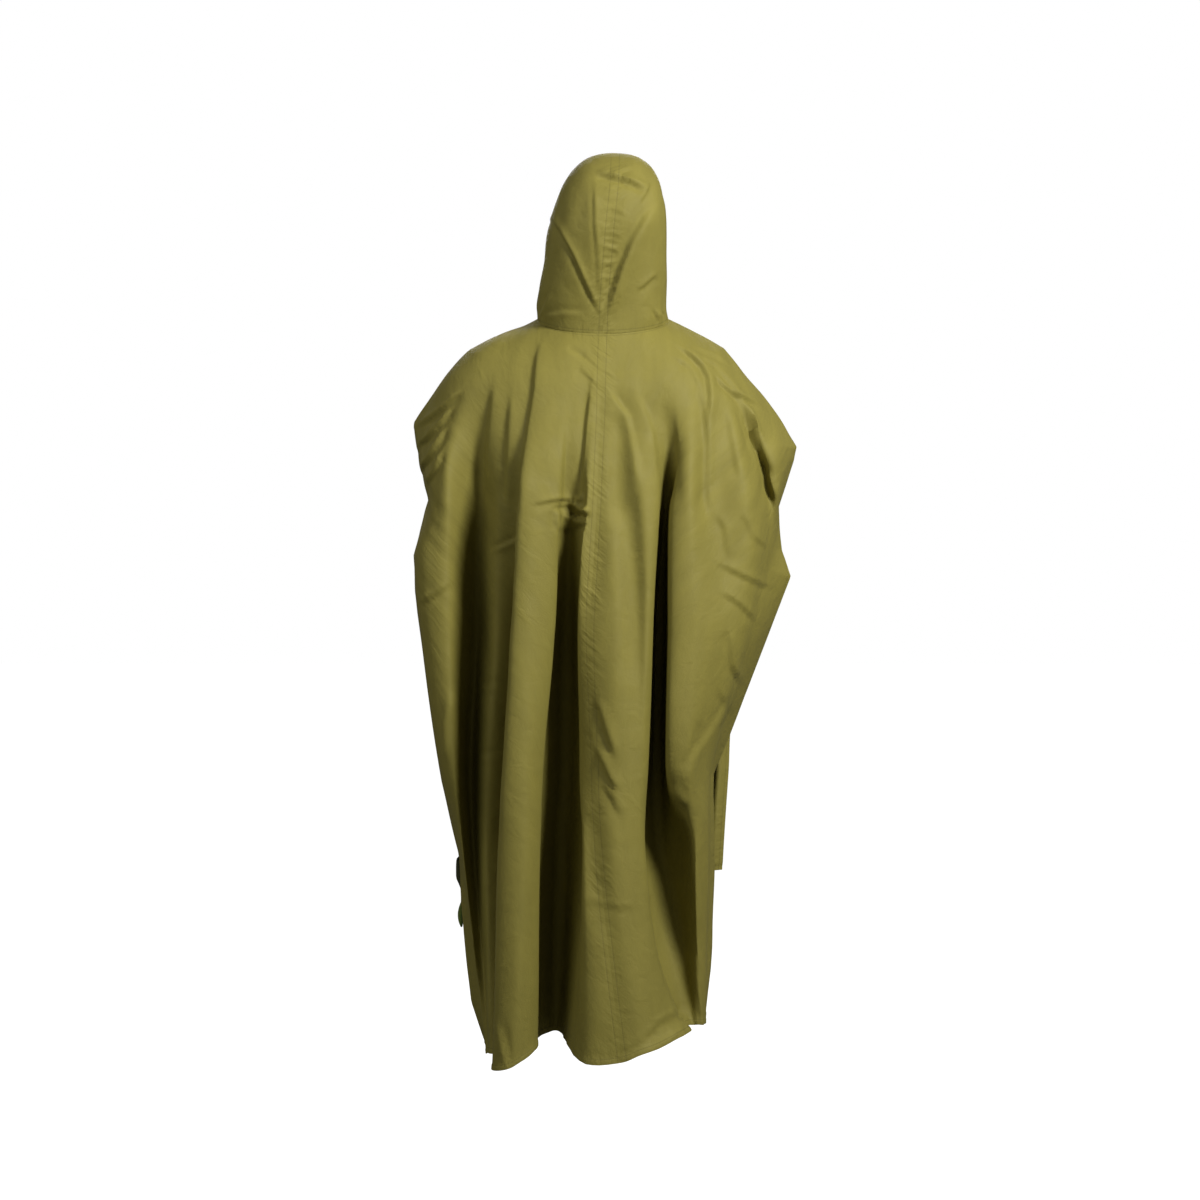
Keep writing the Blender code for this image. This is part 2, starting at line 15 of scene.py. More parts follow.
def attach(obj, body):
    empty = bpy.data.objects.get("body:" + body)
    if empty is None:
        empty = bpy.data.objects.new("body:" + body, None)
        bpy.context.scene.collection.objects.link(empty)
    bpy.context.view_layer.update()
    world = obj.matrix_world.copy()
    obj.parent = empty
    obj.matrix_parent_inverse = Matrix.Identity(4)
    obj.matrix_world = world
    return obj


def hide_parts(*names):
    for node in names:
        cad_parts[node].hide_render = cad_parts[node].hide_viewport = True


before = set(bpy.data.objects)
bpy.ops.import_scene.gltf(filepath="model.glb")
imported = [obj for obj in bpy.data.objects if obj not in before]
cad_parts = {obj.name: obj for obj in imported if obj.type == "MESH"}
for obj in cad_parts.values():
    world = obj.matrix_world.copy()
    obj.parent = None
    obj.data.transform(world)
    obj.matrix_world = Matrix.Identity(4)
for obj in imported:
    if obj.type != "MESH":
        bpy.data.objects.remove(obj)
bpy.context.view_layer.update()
MM = 0.001


# ---- Camera -------------------------------------------------------------------------------------
# The photograph looks level at the back of the garment, from a few steps away. The picture is square.
CAMERA_PLACE = (0.005, 3.4, -0.445)
CAMERA_LENS = 59.6

bpy.ops.object.camera_add(location=CAMERA_PLACE, rotation=(math.pi / 2, 0, math.pi))
camera = bpy.context.object
camera.name = "camera"
camera.data.lens = CAMERA_LENS
camera.data.sensor_width = 36
bpy.context.scene.camera = camera


# ---- The two body halves ------------------------------------------------------------------------
# Each is one length of light coated cloth, from the front hem over the shoulder to the back hem. A
# felled seam joins them down the centre back and the centre front, and their free edges have narrow
# turned hems. The folds hang at the part's places, here a little deeper and sharper.

# Heights and tables without MM are in millimetres.
NECK_BACK = 85  # from the origin to the nape
BACK_HEM = -1190
FRONT_HEM = -920
FREE_BELOW = -800  # from here down each fold of the back falls to its own hem height

# Sections of the body from the neck seam to the back hem: their height at the centre back, at the
# left side, at the right side and at the centre front. Below the armhole's top the front has the same
# sections, spread down to its own hem.
SECTIONS = (
    # name              back    left   right   front
    ("neck seam",          0,     36,     36,    -40),
    ("shoulder",         -68,    -20,    -24,   -108),
    ("upper arm",       -112,    -78,    -80,   -150),
    ("left elbow",      -165,   -136,   -152,   -195),
    ("right elbow",     -195,   -165,   -179,   -222),
    ("armhole notch",   -285,   -272,   -283,      0),
    ("forearm",         -385,   -367,   -403,      0),
    ("hip",             -520,   -520,   -530,      0),
    ("knee",            -690,   -690,   -690,      0),
    ("side tie",        -800,   -800,   -800,      0),
    ("calf",            -930,   -930,   -930,      0),
    ("hem turn",       -1178,  -1178,  -1178,      0),
    ("hem",            -1190,  -1190,  -1190,      0),
)
TOP_SECTION = 2  # the upper arm: above it the folds run in to the neck seam
ARMHOLE_SECTION = 4  # the right elbow: below it front and back are apart at the sides

# The side edges as they show from behind: height, half width, and depth (Y).
LEFT_EDGE = (
    # z      x     y
    (36,    112,    0),
    (25,    135,   -3),
    (4,     192,   -8),
    (-15,   233,  -14),
    (-53,   271,  -24),
    (-98,   302,  -38),
    (-136,  330,  -50),  # the elbow
    (-209,  319,  -48),
    (-272,  304,  -42),  # the armhole notch
    (-312,  314,  -50),
    (-367,  330,  -56),  # over the forearm
    (-431,  328,  -54),
    (-585,  308,  -46),
    (-756,  282,  -38),
    (-888,  249,  -35),  # the side tie
    (-1023, 240,  -35),
    (-1139, 228,  -35),
    (-1216, 203,  -35),
)
RIGHT_EDGE = (
    # z      x     y
    (36,    112,    0),
    (15,    157,   -5),
    (4,     180,   -8),
    (-12,   212,  -12),
    (-52,   240,  -24),
    (-93,   280,  -36),
    (-122,  302,  -44),
    (-179,  336,  -54),  # the elbow
    (-202,  332,  -54),
    (-283,  306,  -44),  # the armhole notch
    (-359,  312,  -50),
    (-404,  327,  -56),  # over the forearm
    (-480,  297,  -52),
    (-593,  253,  -44),
    (-687,  216,  -36),
    (-744,  193,  -30),
    (-909,  192,  -30),
    (-1083, 186,  -30),
    (-1165, 175,  -30),
)

# The folds of the back, one row each from the centre seam to the side. Each is followed at nine
# heights: how far it is from the middle, then how far back it stands, and last the height of the hem
# there. A fold that is further out than the next one is tucked under it. The broad folds have letters,
# from A at the left to F at the right as seen from behind.
FOLD_HEIGHTS = (-100, -200, -280, -370, -500, -720, -850, -1020, -1190)
LEFT_FOLDS = (
    # name, x at each height, depth at each height, hem
    ("centre seam",    (2, 8, 10, 15, 22, 15, 8, -10, -31),
     (122, 140, 150, 156, 164, 162, 178, 188, 192), -1192),
    ("seam column",    (12, 23, 26, 36, 43, 40, 34, 30, 28),
     (127, 144, 156, 160, 150, 130, 166, 182, 186), -1196),
    ("under it",       (18, 28, 30, 34, 35, 31, 28, 42, 58),
     (120, 138, 138, 126, 108, 100, 102, 106, 108), -1181),
    ("centre valley",  (35, 41, 49, 57, 61, 63, 69, 75, 80),
     (118, 134, 122, 96, 56, 28, 14, 14, 22), -1177),
    ("under B",        (50, 59, 66, 76, 84, 107, 114, 116, 116),
     (118, 132, 130, 118, 100, 94, 90, 88, 90), -1177),
    ("B right edge",   (58, 66, 73, 77, 79, 99, 102, 106, 109),
     (124, 147, 152, 150, 146, 148, 148, 146, 146), -1179),
    ("B crown",        (91, 102, 112, 118, 122, 126, 128, 137, 147),
     (128, 154, 168, 177, 182, 186, 186, 184, 180), -1203),
    ("B left edge",    (112, 127, 138, 143, 149, 161, 168, 173, 180),
     (123, 149, 163, 171, 176, 178, 172, 164, 154), -1213),
    ("under B, left",  (120, 135, 136, 136, 138, 149, 157, 165, 172),
     (116, 128, 108, 74, 38, 18, 20, 56, 92), -1202),
    ("dim ridge",      (163, 172, 175, 177, 179, 194, 198, 193, 185),
     (103, 101, 88, 68, 52, 40, 42, 64, 84), -1202),
    ("side valley",    (211, 208, 208, 214, 216, 227, 222, 206, 190),
     (76, 60, 42, 16, -4, -8, 8, 40, 60), -1206),
    ("A crown",        (240, 260, 258, 258, 256, 248, 236, 217, 195),
     (74, 97, 99, 98, 96, 84, 66, 55, 48), -1210),
    ("elbow crease",   (262, 284, 278, 288, 286, 268, 243, 219, 196),
     (56, 74, 84, 92, 90, 70, 42, 28, 22), -1212),
    ("elbow facet",    (282, 302, 290, 308, 303, 278, 248, 221, 198),
     (36, 38, 58, 72, 66, 42, 10, 0, -5), -1214),
)
RIGHT_FOLDS = (
    # name, x at each height, depth at each height, hem
    ("D crown",        (3, 4, 9, 15, 20, 20, 18, 36, 61),
     (121, 140, 151, 163, 176, 182, 188, 190, 190), -1179),
    ("small crease",   (10, 16, 26, 46, 56, 56, 50, 66, 90),
     (118, 136, 147, 156, 164, 172, 176, 176, 174), -1170),
    ("small ridge",    (40, 58, 66, 72, 72, 66, 64, 82, 116),
     (124, 147, 157, 162, 164, 164, 162, 157, 152), -1161),
    ("D right edge",   (78, 94, 90, 87, 83, 74, 67, 82, 138),
     (112, 130, 142, 148, 148, 140, 136, 124, 108), -1160),
    ("under D",        (94, 104, 96, 90, 82, 68, 61, 75, 130),
     (108, 112, 110, 104, 98, 92, 88, 86, 86), -1160),
    ("side valley",    (112, 113, 105, 99, 94, 89, 91, 106, 142),
     (106, 98, 84, 64, 40, 30, 30, 38, 60), -1160),
    ("far side of it", (117, 117, 110, 106, 103, 101, 106, 124, 152),
     (108, 104, 92, 72, 52, 44, 36, 40, 56), -1160),
    ("F left edge",    (123, 121, 114, 110, 108, 107, 130, 139, 160),
     (112, 132, 144, 156, 162, 156, 72, 60, 60), -1159),
    ("F crown",        (136, 140, 141, 142, 146, 140, 143, 150, 168),
     (118, 147, 158, 165, 168, 160, 106, 79, 58), -1160),
    ("F crease",       (177, 180, 180, 188, 196, 160, 154, 158, 171),
     (92, 110, 122, 130, 136, 128, 112, 82, 50), -1160),
    ("F side",         (205, 226, 240, 246, 234, 180, 175, 174, 174),
     (84, 112, 113, 108, 100, 84, 76, 59, 40), -1161),
    ("elbow crease",   (234, 266, 282, 278, 254, 187, 180, 177, 175),
     (50, 48, 34, 36, 50, 44, 40, 31, 22), -1162),
    ("elbow facet",    (254, 290, 293, 286, 268, 190, 184, 179, 175),
     (46, 58, 24, 14, 20, 10, 8, 5, 2), -1163),
)

# The front. Its depth at the centre, by height; its side edges below the armhole's top, by height;
# and its folds, as shares of the half width at the top and at the hem, with how far each stands out at
# the hem.
FRONT_DEPTH = (
    # z     y
    (-40,   -85),
    (-100, -118),
    (-170, -160),
    (-250, -205),
    (-330, -238),
    (-420, -252),
    (-920, -262),
)
FRONT_EDGES = (
    # z     left x  left y  right x  right y
    (-165,   326,    -49,     334,    -54),
    (-255,   300,    -78,     303,    -82),
    (-380,   316,   -115,     312,   -115),
    (-540,   302,   -110,     262,   -112),
    (-650,   288,   -100,     229,   -108),
    (-750,   275,    -84,     222,   -104),
    (-840,   256,    -68,     215,   -100),
    (-920,   246,    -60,     210,   -100),
)
FRONT_FOLDS_LEFT = (
    # name        top    hem   stands out
    ("ridge 1",  0.14,  0.15,  14),
    ("valley 1", 0.27,  0.30, -48),
    ("ridge 2",  0.42,  0.44,  16),
    ("valley 2", 0.56,  0.57, -54),
    ("ridge 3",  0.70,  0.69,   8),
    ("valley 3", 0.82,  0.79, -26),
    ("ridge 4",  0.92,  0.90,  -6),
)
FRONT_FOLDS_RIGHT = (
    # name        top    hem   stands out
    ("ridge 1",  0.12,  0.18,  10),
    ("valley 1", 0.25,  0.32, -52),
    ("ridge 2",  0.38,  0.45,  14),
    ("valley 2", 0.53,  0.58, -40),
    ("ridge 3",  0.68,  0.71,   6),
    ("valley 3", 0.80,  0.79, -22),
    ("ridge 4",  0.87,  0.83, -14),
    ("border",   0.95,  0.90, -104),
)
FRONT_SEAM_STANDS_OUT = -12
FRONT_SQUARER = 0.6  # than an ellipse, seen from above, from the elbows down
FRONT_FOLDS_START = -90  # height where the front's folds begin, and where they are at full depth
FRONT_FOLDS_FULL = -640


def smooth(at, places, values):
    """The value at a place, on a smooth curve through values at places that fall from the top."""
    at = min(places[0], max(places[-1], at))
    k = next(i for i in range(len(places) - 1) if at >= places[i + 1])

    def slope(i):
        i0, i1 = max(i - 1, 0), min(i + 1, len(places) - 1)
        return (values[i1] - values[i0]) / (places[i1] - places[i0])

    gap = places[k + 1] - places[k]
    t = (at - places[k]) / gap
    return (
        values[k] * (2 * t**3 - 3 * t**2 + 1)
        + values[k + 1] * (3 * t**2 - 2 * t**3)
        + slope(k) * gap * (t**3 - 2 * t**2 + t)
        + slope(k + 1) * gap * (t**3 - t**2)
    )


def through(points, steps):
    """Points on a rounded curve through the given ones, with its own steps between each two."""
    ends = [2 * points[0] - points[1], *points, 2 * points[-1] - points[-2]]
    curve = []
    for a, b, c, d, count in zip(ends, ends[1:], ends[2:], ends[3:], steps):
        t1 = math.sqrt((b - a).length)
        t2 = t1 + math.sqrt((c - b).length)
        t3 = t2 + math.sqrt((d - c).length)
        for step in range(count):
            t = t1 + (t2 - t1) * step / count
            ab = a.lerp(b, t / t1)
            bc = b.lerp(c, (t - t1) / (t2 - t1))
            cd = c.lerp(d, (t - t2) / (t3 - t2))
            abc = ab.lerp(bc, t / t2)
            bcd = bc.lerp(cd, (t - t1) / (t3 - t1))
            curve.append(abc.lerp(bcd, (t - t1) / (t2 - t1)))
    return [*curve, points[-1]]


def eased(share):
    """A share from 0 to 1, kept in that range, that starts and ends gently."""
    share = np.clip(share, 0, 1)
    return share * share * (3 - 2 * share)


def side_edge(side, height):
    """The half width and the depth of a side edge at a height."""
    places, *measures = zip(*reversed(LEFT_EDGE if side > 0 else RIGHT_EDGE))
    return [float(np.interp(height, places, measure)) for measure in measures]


def tilted(edge_z, middle_z, share):
    """The height of a ring at a share of its half width: its middle is higher or lower than its ends."""
    return edge_z + (middle_z - edge_z) * math.sqrt(max(0, 1 - share * share))


def hung(height, hem):
    """A height below the side tie, moved so that the cloth ends at its own hem."""
    if height > FREE_BELOW:
        return height
    return FREE_BELOW + (height - FREE_BELOW) * (hem - FREE_BELOW) / (BACK_HEM - FREE_BELOW)


SETTLING = 4  # rounds that find where a fold and a tilted ring meet


def back_point(fold, ring, side):
    """Where a fold of the back crosses a ring."""
    name, across, depth, hem = fold
    back, _, _, _, place = ring
    edge_z = ring[1] if side > 0 else ring[2]
    edge_x = side_edge(side, edge_z)[0]
    top = SECTIONS[TOP_SECTION]
    if place <= TOP_SECTION:
        top_edge = side_edge(side, top[2] if side > 0 else top[3])[0]
        share = smooth(top[1], FOLD_HEIGHTS, across) / top_edge
        share = max(-1, min(1, share))
        if name == "centre seam":
            share *= place / TOP_SECTION
        z = tilted(edge_z, back, share)
        x = share * edge_x
        outward = math.sin(math.pi / 2 * place / TOP_SECTION)
        neck_y = NECK_BACK * math.sqrt(1 - share * share)
        y = neck_y + (smooth(top[1], FOLD_HEIGHTS, depth) - neck_y) * outward
    else:
        z = back
        for _ in range(SETTLING):
            x = smooth(z, FOLD_HEIGHTS, across)
            z = tilted(edge_z, back, min(1, abs(x) / edge_x))
        y = smooth(z, FOLD_HEIGHTS, depth)
    return Vector((side * x, y, hung(z, hem))) * MM


def back_edge_point(ring, side):
    """Where a ring meets the side edge of the back."""
    z = ring[1] if side > 0 else ring[2]
    if z <= FREE_BELOW:
        z = hung(z, (LEFT_EDGE if side > 0 else RIGHT_EDGE)[-1][0])
    x, y = side_edge(side, z)
    return Vector((side * x, y, z)) * MM


def front_heights(ring, side):
    """The heights of a front ring at its side edge and at the centre."""
    back, left, right, front, place = ring
    edge = left if side > 0 else right
    if place <= ARMHOLE_SECTION:
        return edge, front
    top = SECTIONS[ARMHOLE_SECTION]
    top_edge = top[2] if side > 0 else top[3]
    edge = top_edge + (edge - top_edge) * (FRONT_HEM - top_edge) / (BACK_HEM - top_edge)
    middle = top[4] + (back - top[1]) * (FRONT_HEM - top[4]) / (BACK_HEM - top[1])
    return edge, middle


def front_edge_point(ring, side):
    """Where a ring meets the side edge of the front."""
    if ring[4] <= ARMHOLE_SECTION:
        return back_edge_point(ring, side)
    z = front_heights(ring, side)[0]
    places, *measures = zip(*FRONT_EDGES)
    x, y = [smooth(z, places, measure) for measure in (measures[:2] if side > 0 else measures[2:])]
    return Vector((side * x, y, z)) * MM


def front_point(fold, ring, side):
    """Where a fold of the front crosses a ring."""
    _, top, hem, stands_out = fold
    place = ring[4]
    edge = front_edge_point(ring, side)
    edge_z, middle = front_heights(ring, side)
    share = top + (hem - top) * place / (len(SECTIONS) - 1)
    z = tilted(edge_z, middle, share)
    squareness = 2 + FRONT_SQUARER * min(1, place / ARMHOLE_SECTION)
    bow = (1 - share**squareness) ** (1 / squareness)
    centre = smooth(middle, *zip(*FRONT_DEPTH))
    y = edge.y / MM + (centre - edge.y / MM) * bow
    y -= stands_out * eased((FRONT_FOLDS_START - z) / (FRONT_FOLDS_START - FRONT_FOLDS_FULL))
    return Vector((share * edge.x / MM, y, z)) * MM


LEFT_STEPS = (5, 4, 8, 8, 5, 10, 7, 9, 11, 12, 10, 9, 9, 16)  # columns from each fold to the next
RIGHT_STEPS = (7, 6, 7, 6, 5, 5, 4, 5, 8, 14, 14, 12, 10, 15)
FRONT_STEPS = (7,) * 16 + (6,)
ROW_STEPS = (3.5, 3.5, 3.5, 3.5, 4, 3.5, 6, 6.5, 7, 7, 7, 3)  # from row to row in each section
CLOTH_THICK = 1.0 * MM

# Creases of the back: the line that each follows as (x, z), its width to each side, and how far it
# stands out (+) or sinks in (-) at its middle. It fades out towards both ends. One with a fourth
# number is an edge of cloth that sharp: on a line that climbs, the cloth steps out to the right of it
# as seen from behind, and sinks to the left.
CREASE_FADE = 0.22  # the share of its length over which a crease fades at each end
CREASE_END = 0.12  # and how much of it is left there
BACK_CREASES = (
    # at the neck and down the centre
    (((61, -23), (28, -44)), 4, -2.5),
    (((58, -18), (20, -52)), 4, -1.5),
    (((15, -90), (41, -57)), 12, 1.4, 3),
    (((36, -276), (32, -214), (28, -151), (20, -84)), 14, 4.4, 2.4),
    (((-64, -265), (-58, -216), (-43, -143), (-5, -90)), 20, -4.0, 3),
    (((-92, -250), (-84, -170), (-60, -100)), 18, -3.0, 4),
    (((139, -328), (134, -239), (125, -164), (116, -100), (112, -40), (104, 4)), 22, 4.0, 2.5),
    (((200, -270), (194, -180), (184, -80)), 22, 4.5, 4),
    (((164, -300), (160, -200), (154, -100)), 16, 3.5, 3),
    (((-47, -600), (-49, -400), (-44, -240)), 16, -5.5),
    (((-26, -330), (-30, -230), (-30, -130)), 20, -7.0),
    (((-118, -300), (-112, -200), (-96, -110)), 14, -5.0),
    (((-262, -180), (-242, -130), (-218, -86), (-188, -50)), 12, 3.6, 3),
    # the pinch beside the centre seam
    (((112, -291), (86, -284), (64, -280), (46, -279)), 8, -3.2, 1.6),
    (((50, -281), (30, -276)), 6, 5.0),
    (((84, -296), (66, -294), (48, -291)), 4, -4.0),
    (((60, -284), (44, -288), (20, -304)), 4.5, 7.0),
    (((58, -302), (40, -306), (24, -313)), 4, -5.0),
    (((70, -304), (48, -312), (36, -318)), 5, 4.0),
    (((24, -320), (44, -328), (64, -335)), 4.5, -5.0),
    (((76, -332), (79, -314), (80, -298)), 8, 3.5, 2),
    # the deep valleys
    (((56, -380), (62, -500), (64, -720), (70, -850), (82, -1180)), 12, -8.0),
    (((-97, -330), (-95, -500), (-90, -720), (-96, -850), (-150, -1120)), 8, -8.0),
    (((-114, -752), (-128, -770), (-138, -782)), 7, 5.0),
    (((-122, -790), (-128, -900), (-150, -1060)), 16, -14.0),
    # down the left side
    (((190, -362), (165, -352), (140, -341)), 8, 2.5, 1.5),
    (((252, -417), (280, -438), (310, -453)), 9, 2.5, 1.5),
    (((157, -594), (211, -585)), 7, -1.8, 1.5),
    (((170, -704), (211, -709)), 7, -1.8, 1.5),
    (((138, -944), (165, -945)), 6, 1.5, 1.5),
    (((250, -590), (262, -650), (262, -720)), 8, 4.0),
    (((236, -92), (262, -116), (290, -134), (322, -146)), 12, 4.5, 1.6),
    (((250, -118), (272, -146), (296, -168), (322, -184)), 11, 5.0, 1.6),
    (((262, -154), (278, -182), (296, -208), (316, -226)), 10, 5.0, 1.6),
    (((268, -196), (280, -226), (298, -252)), 9, 4.5, 1.6),
    # the right shoulder and elbow
    (((-173, -150), (-176, -107), (-174, -74), (-165, -54), (-145, -34), (-122, -16)), 14, 5.0, 2),
    (((-163, -130), (-160, -90), (-146, -58), (-122, -34)), 16, 2.5, 4),
    (((-140, -54), (-115, -39)), 7, 1.5, 1.5),
    (((-198, -52), (-165, -42)), 8, 1.5, 1.5),
    (((-222, -50), (-190, -32), (-150, -20)), 10, 1.4, 3),
    (((-268, -117), (-246, -107), (-224, -100), (-201, -85), (-186, -66)), 10, 3.6, 1.5),
    (((-262, -222), (-250, -182), (-238, -145), (-226, -112)), 14, 4.0, 4),
    (((-292, -296), (-286, -265), (-275, -216), (-262, -179), (-247, -138), (-234, -108)), 12, 9.0, 1.8),
    (((-286, -244), (-268, -196), (-250, -150)), 7, -7.0),
    (((-226, -250), (-214, -180), (-204, -120)), 20, 3.0, 5),
    (((-176, -320), (-172, -260), (-172, -190), (-166, -96)), 16, 4.5, 2.5),
    # the right side below the elbow
    (((-186, -384), (-229, -405), (-262, -418), (-292, -425)), 12, -2.2, 1.5),
    (((-193, -432), (-225, -452), (-257, -480)), 12, -2.2, 2),
    (((-206, -380), (-200, -330), (-184, -300)), 14, 1.8, 3),
    (((-276, -360), (-250, -340), (-230, -300)), 14, 1.8, 3),
    (((-236, -589), (-214, -557), (-208, -490)), 14, 2.8, 2),
    (((-140, -712), (-180, -658), (-203, -618), (-185, -584)), 14, 2.4, 3),
    (((-206, -600), (-212, -640), (-196, -676)), 7, -2.0),
    (((-162, -640), (-150, -690), (-128, -724)), 9, -2.5),
    # low down at the centre, beside the seam
    (((-18, -700), (-4, -660), (14, -604)), 12, 5.0, 2),
    (((-24, -758), (-6, -728), (12, -690)), 12, 5.0, 2),
    (((-30, -800), (-14, -764), (4, -740)), 12, 3.0, 2),
    (((-52, -946), (-10, -940), (26, -936)), 9, 2.0, 1.5),
    (((24, -780), (22, -860), (14, -940)), 14, -4.0),
    (((6, -960), (2, -1060), (12, -1160)), 14, 4.0),
    (((-66, -1150), (-92, -1134), (-128, -1122)), 7, -3.5, 1.6),
    (((-96, -1158), (-122, -1142), (-146, -1132)), 6, 4.0, 1.4),
    (((-30, -1176), (-58, -1160), (-84, -1150)), 7, -2.5, 2),
    (((168, -1130), (160, -1170), (154, -1200)), 9, 4.0, 2),
)

# The same for the front, which the photograph hides.
FRONT_CREASES = (
    (((30, -70), (52, -130)), 8, 3.0),
    (((-24, -80), (-46, -150)), 8, -3.0),
    (((150, -60), (190, -110), (226, -180)), 8, 4.0),
    (((-160, -55), (-196, -100), (-240, -170)), 8, 4.0),
    (((-120, -90), (-170, -170)), 7, -3.0),
    (((262, -170), (300, -215)), 6, 5.0),
    (((266, -196), (300, -240)), 5, -5.0),
    (((-266, -190), (-304, -230)), 6, 5.0),
    (((210, -430), (290, -400)), 5, -2.5),
    (((-200, -420), (-286, -396)), 5, -2.5),
    (((60, -560), (96, -575)), 4, -1.6),
    (((-150, -640), (-196, -628)), 4, -1.6),
    (((-60, -300), (-94, -286)), 4, -1.8),
)


def fine_rings():
    """The rings of the body, a few millimetres apart."""
    rows = []
    for number, (section, below) in enumerate(zip(SECTIONS, SECTIONS[1:])):
        drop = max(section[1] - below[1], section[2] - below[2])
        steps = round(drop / ROW_STEPS[number])
        for step in range(steps):
            share = step / steps
            heights = [a + (b - a) * share for a, b in zip(section[1:5], below[1:5])]
            rows.append((*heights, number + share))
    rows.append((*SECTIONS[-1][1:5], len(SECTIONS) - 1))
    return rows


def out_of(grid):
    """The direction out of a grid of points whose rows run clockwise seen from above."""
    across = np.gradient(grid, axis=1)
    down = np.gradient(grid, axis=0)
    way = np.cross(across, down)
    length = np.linalg.norm(way, axis=2, keepdims=True)
    return way / np.maximum(length, 1e-12)


def lengths(grid, axis):
    """How far each point is along its row or column, from that line's first point."""
    steps = np.linalg.norm(np.diff(grid, axis=axis), axis=2)
    lead = [(0, 0), (0, 0)]
    lead[axis] = (1, 0)
    return np.cumsum(np.pad(steps, lead), axis=axis)


def evened(grid, spread, axis=1):
    """A grid of points drawn smooth along its rows, or its columns with axis 0. The ends stay."""
    if axis == 0:
        return evened(grid.transpose(1, 0, 2), spread).transpose(1, 0, 2)
    reach = 3 * spread
    before = 2 * grid[:, :1] - grid[:, reach:0:-1]
    after = 2 * grid[:, -1:] - grid[:, -2 : -reach - 2 : -1]
    wide = np.concatenate([before, grid, after], axis=1)
    weights = np.exp(-0.5 * (np.arange(-reach, reach + 1) / spread) ** 2)
    weights /= weights.sum()
    count = grid.shape[1]
    return sum(weight * wide[:, k : k + count] for k, weight in enumerate(weights))


def creased(x, z, creases):
    """How far creases move points at (x, z) out of the cloth, all in metres."""
    moved = np.zeros_like(x)
    for line, width, height, *edge in creases:
        path = np.array(line, float) * MM
        parts = np.linalg.norm(np.diff(path, axis=0), axis=1)
        whole = parts.sum()
        before = 0
        nearest = np.full_like(x, np.inf)
        share, aside = np.zeros_like(x), np.zeros_like(x)
        for start, end, part in zip(path, path[1:], parts):
            run = (end - start) / part
            along = np.clip((x - start[0]) * run[0] + (z - start[1]) * run[1], 0, part)
            far = np.hypot(x - start[0] - run[0] * along, z - start[1] - run[1] * along)
            closer = far < nearest
            share = np.where(closer, (before + along) / whole, share)
            nearest = np.where(closer, far, nearest)
            off = run[0] * (z - start[1]) - run[1] * (x - start[0])
            aside = np.where(closer, off, aside)
            before += part
        fade = CREASE_END + (1 - CREASE_END) * eased(np.minimum(share, 1 - share) / CREASE_FADE)
        shape = np.exp(-((nearest / (width * MM)) ** 2))
        if edge:
            shape = shape * np.tanh(aside / (edge[0] * MM))
        moved += height * MM * fade * shape
    return moved


WAVE_SHIFT = 7.3  # keeps the waves of each size apart


def unevenness(across, down, sizes, seed):
    """Soft uneven waves over the cloth: rows of (waves per metre across, down, height in mm)."""
    waves = np.zeros_like(across)
    for number, (wide, long, height) in enumerate(sizes):
        shift = WAVE_SHIFT * number + seed
        flat = [
            noise.noise((a * wide + shift, d * long - shift, seed))
            for a, d in zip(across.ravel(), down.ravel())
        ]
        waves += np.array(flat).reshape(across.shape) * height * MM
    return waves


def numbered(grid):
    """The number of each point of a grid."""
    rows, columns = grid.shape[:2]
    return np.arange(rows * columns).reshape(rows, columns)


def faces_between(numbers):
    """Four-cornered faces, outside out, between the rows and columns of a grid of point numbers."""
    upper, lower = numbers[:-1], numbers[1:]
    quads = np.stack([upper[:, :-1], lower[:, :-1], lower[:, 1:], upper[:, 1:]], 2)
    return quads.reshape(-1, 4)[:, ::-1]


def pairs(first, second):
    """Two grids of values as a pair for each point."""
    return np.stack([first, second], 2).reshape(-1, 2)


SMOOTH_ANGLE = math.radians(65)  # the cloth's own edges are sharper, and stay sharp


def cloth_piece(name, points, faces, maps, thick, material):
    """A thin closed cloth shell: points, four-cornered faces, and maps of metres over the cloth."""
    mesh = bpy.data.meshes.new(name)
    mesh.from_pydata([tuple(p) for p in points], [], [tuple(int(c) for c in f) for f in faces])
    corners = np.empty(len(mesh.loops), int)
    mesh.loops.foreach_get("vertex_index", corners)
    for map_name, values in maps.items():
        layer = mesh.uv_layers.new(name=map_name)
        layer.data.foreach_set("uv", np.asarray(values, np.float32)[corners].ravel())
    mesh.materials.append(material)
    piece = bpy.data.objects.new(name, mesh)
    bpy.context.scene.collection.objects.link(piece)
    bpy.ops.object.select_all(action="DESELECT")
    piece.select_set(True)
    bpy.context.view_layer.objects.active = piece
    wall = piece.modifiers.new("wall", "SOLIDIFY")
    wall.thickness = thick
    wall.offset = -1
    wall.use_rim = True
    bpy.ops.object.modifier_apply(modifier=wall.name)
    bpy.ops.object.shade_smooth_by_angle(angle=SMOOTH_ANGLE)
    return piece


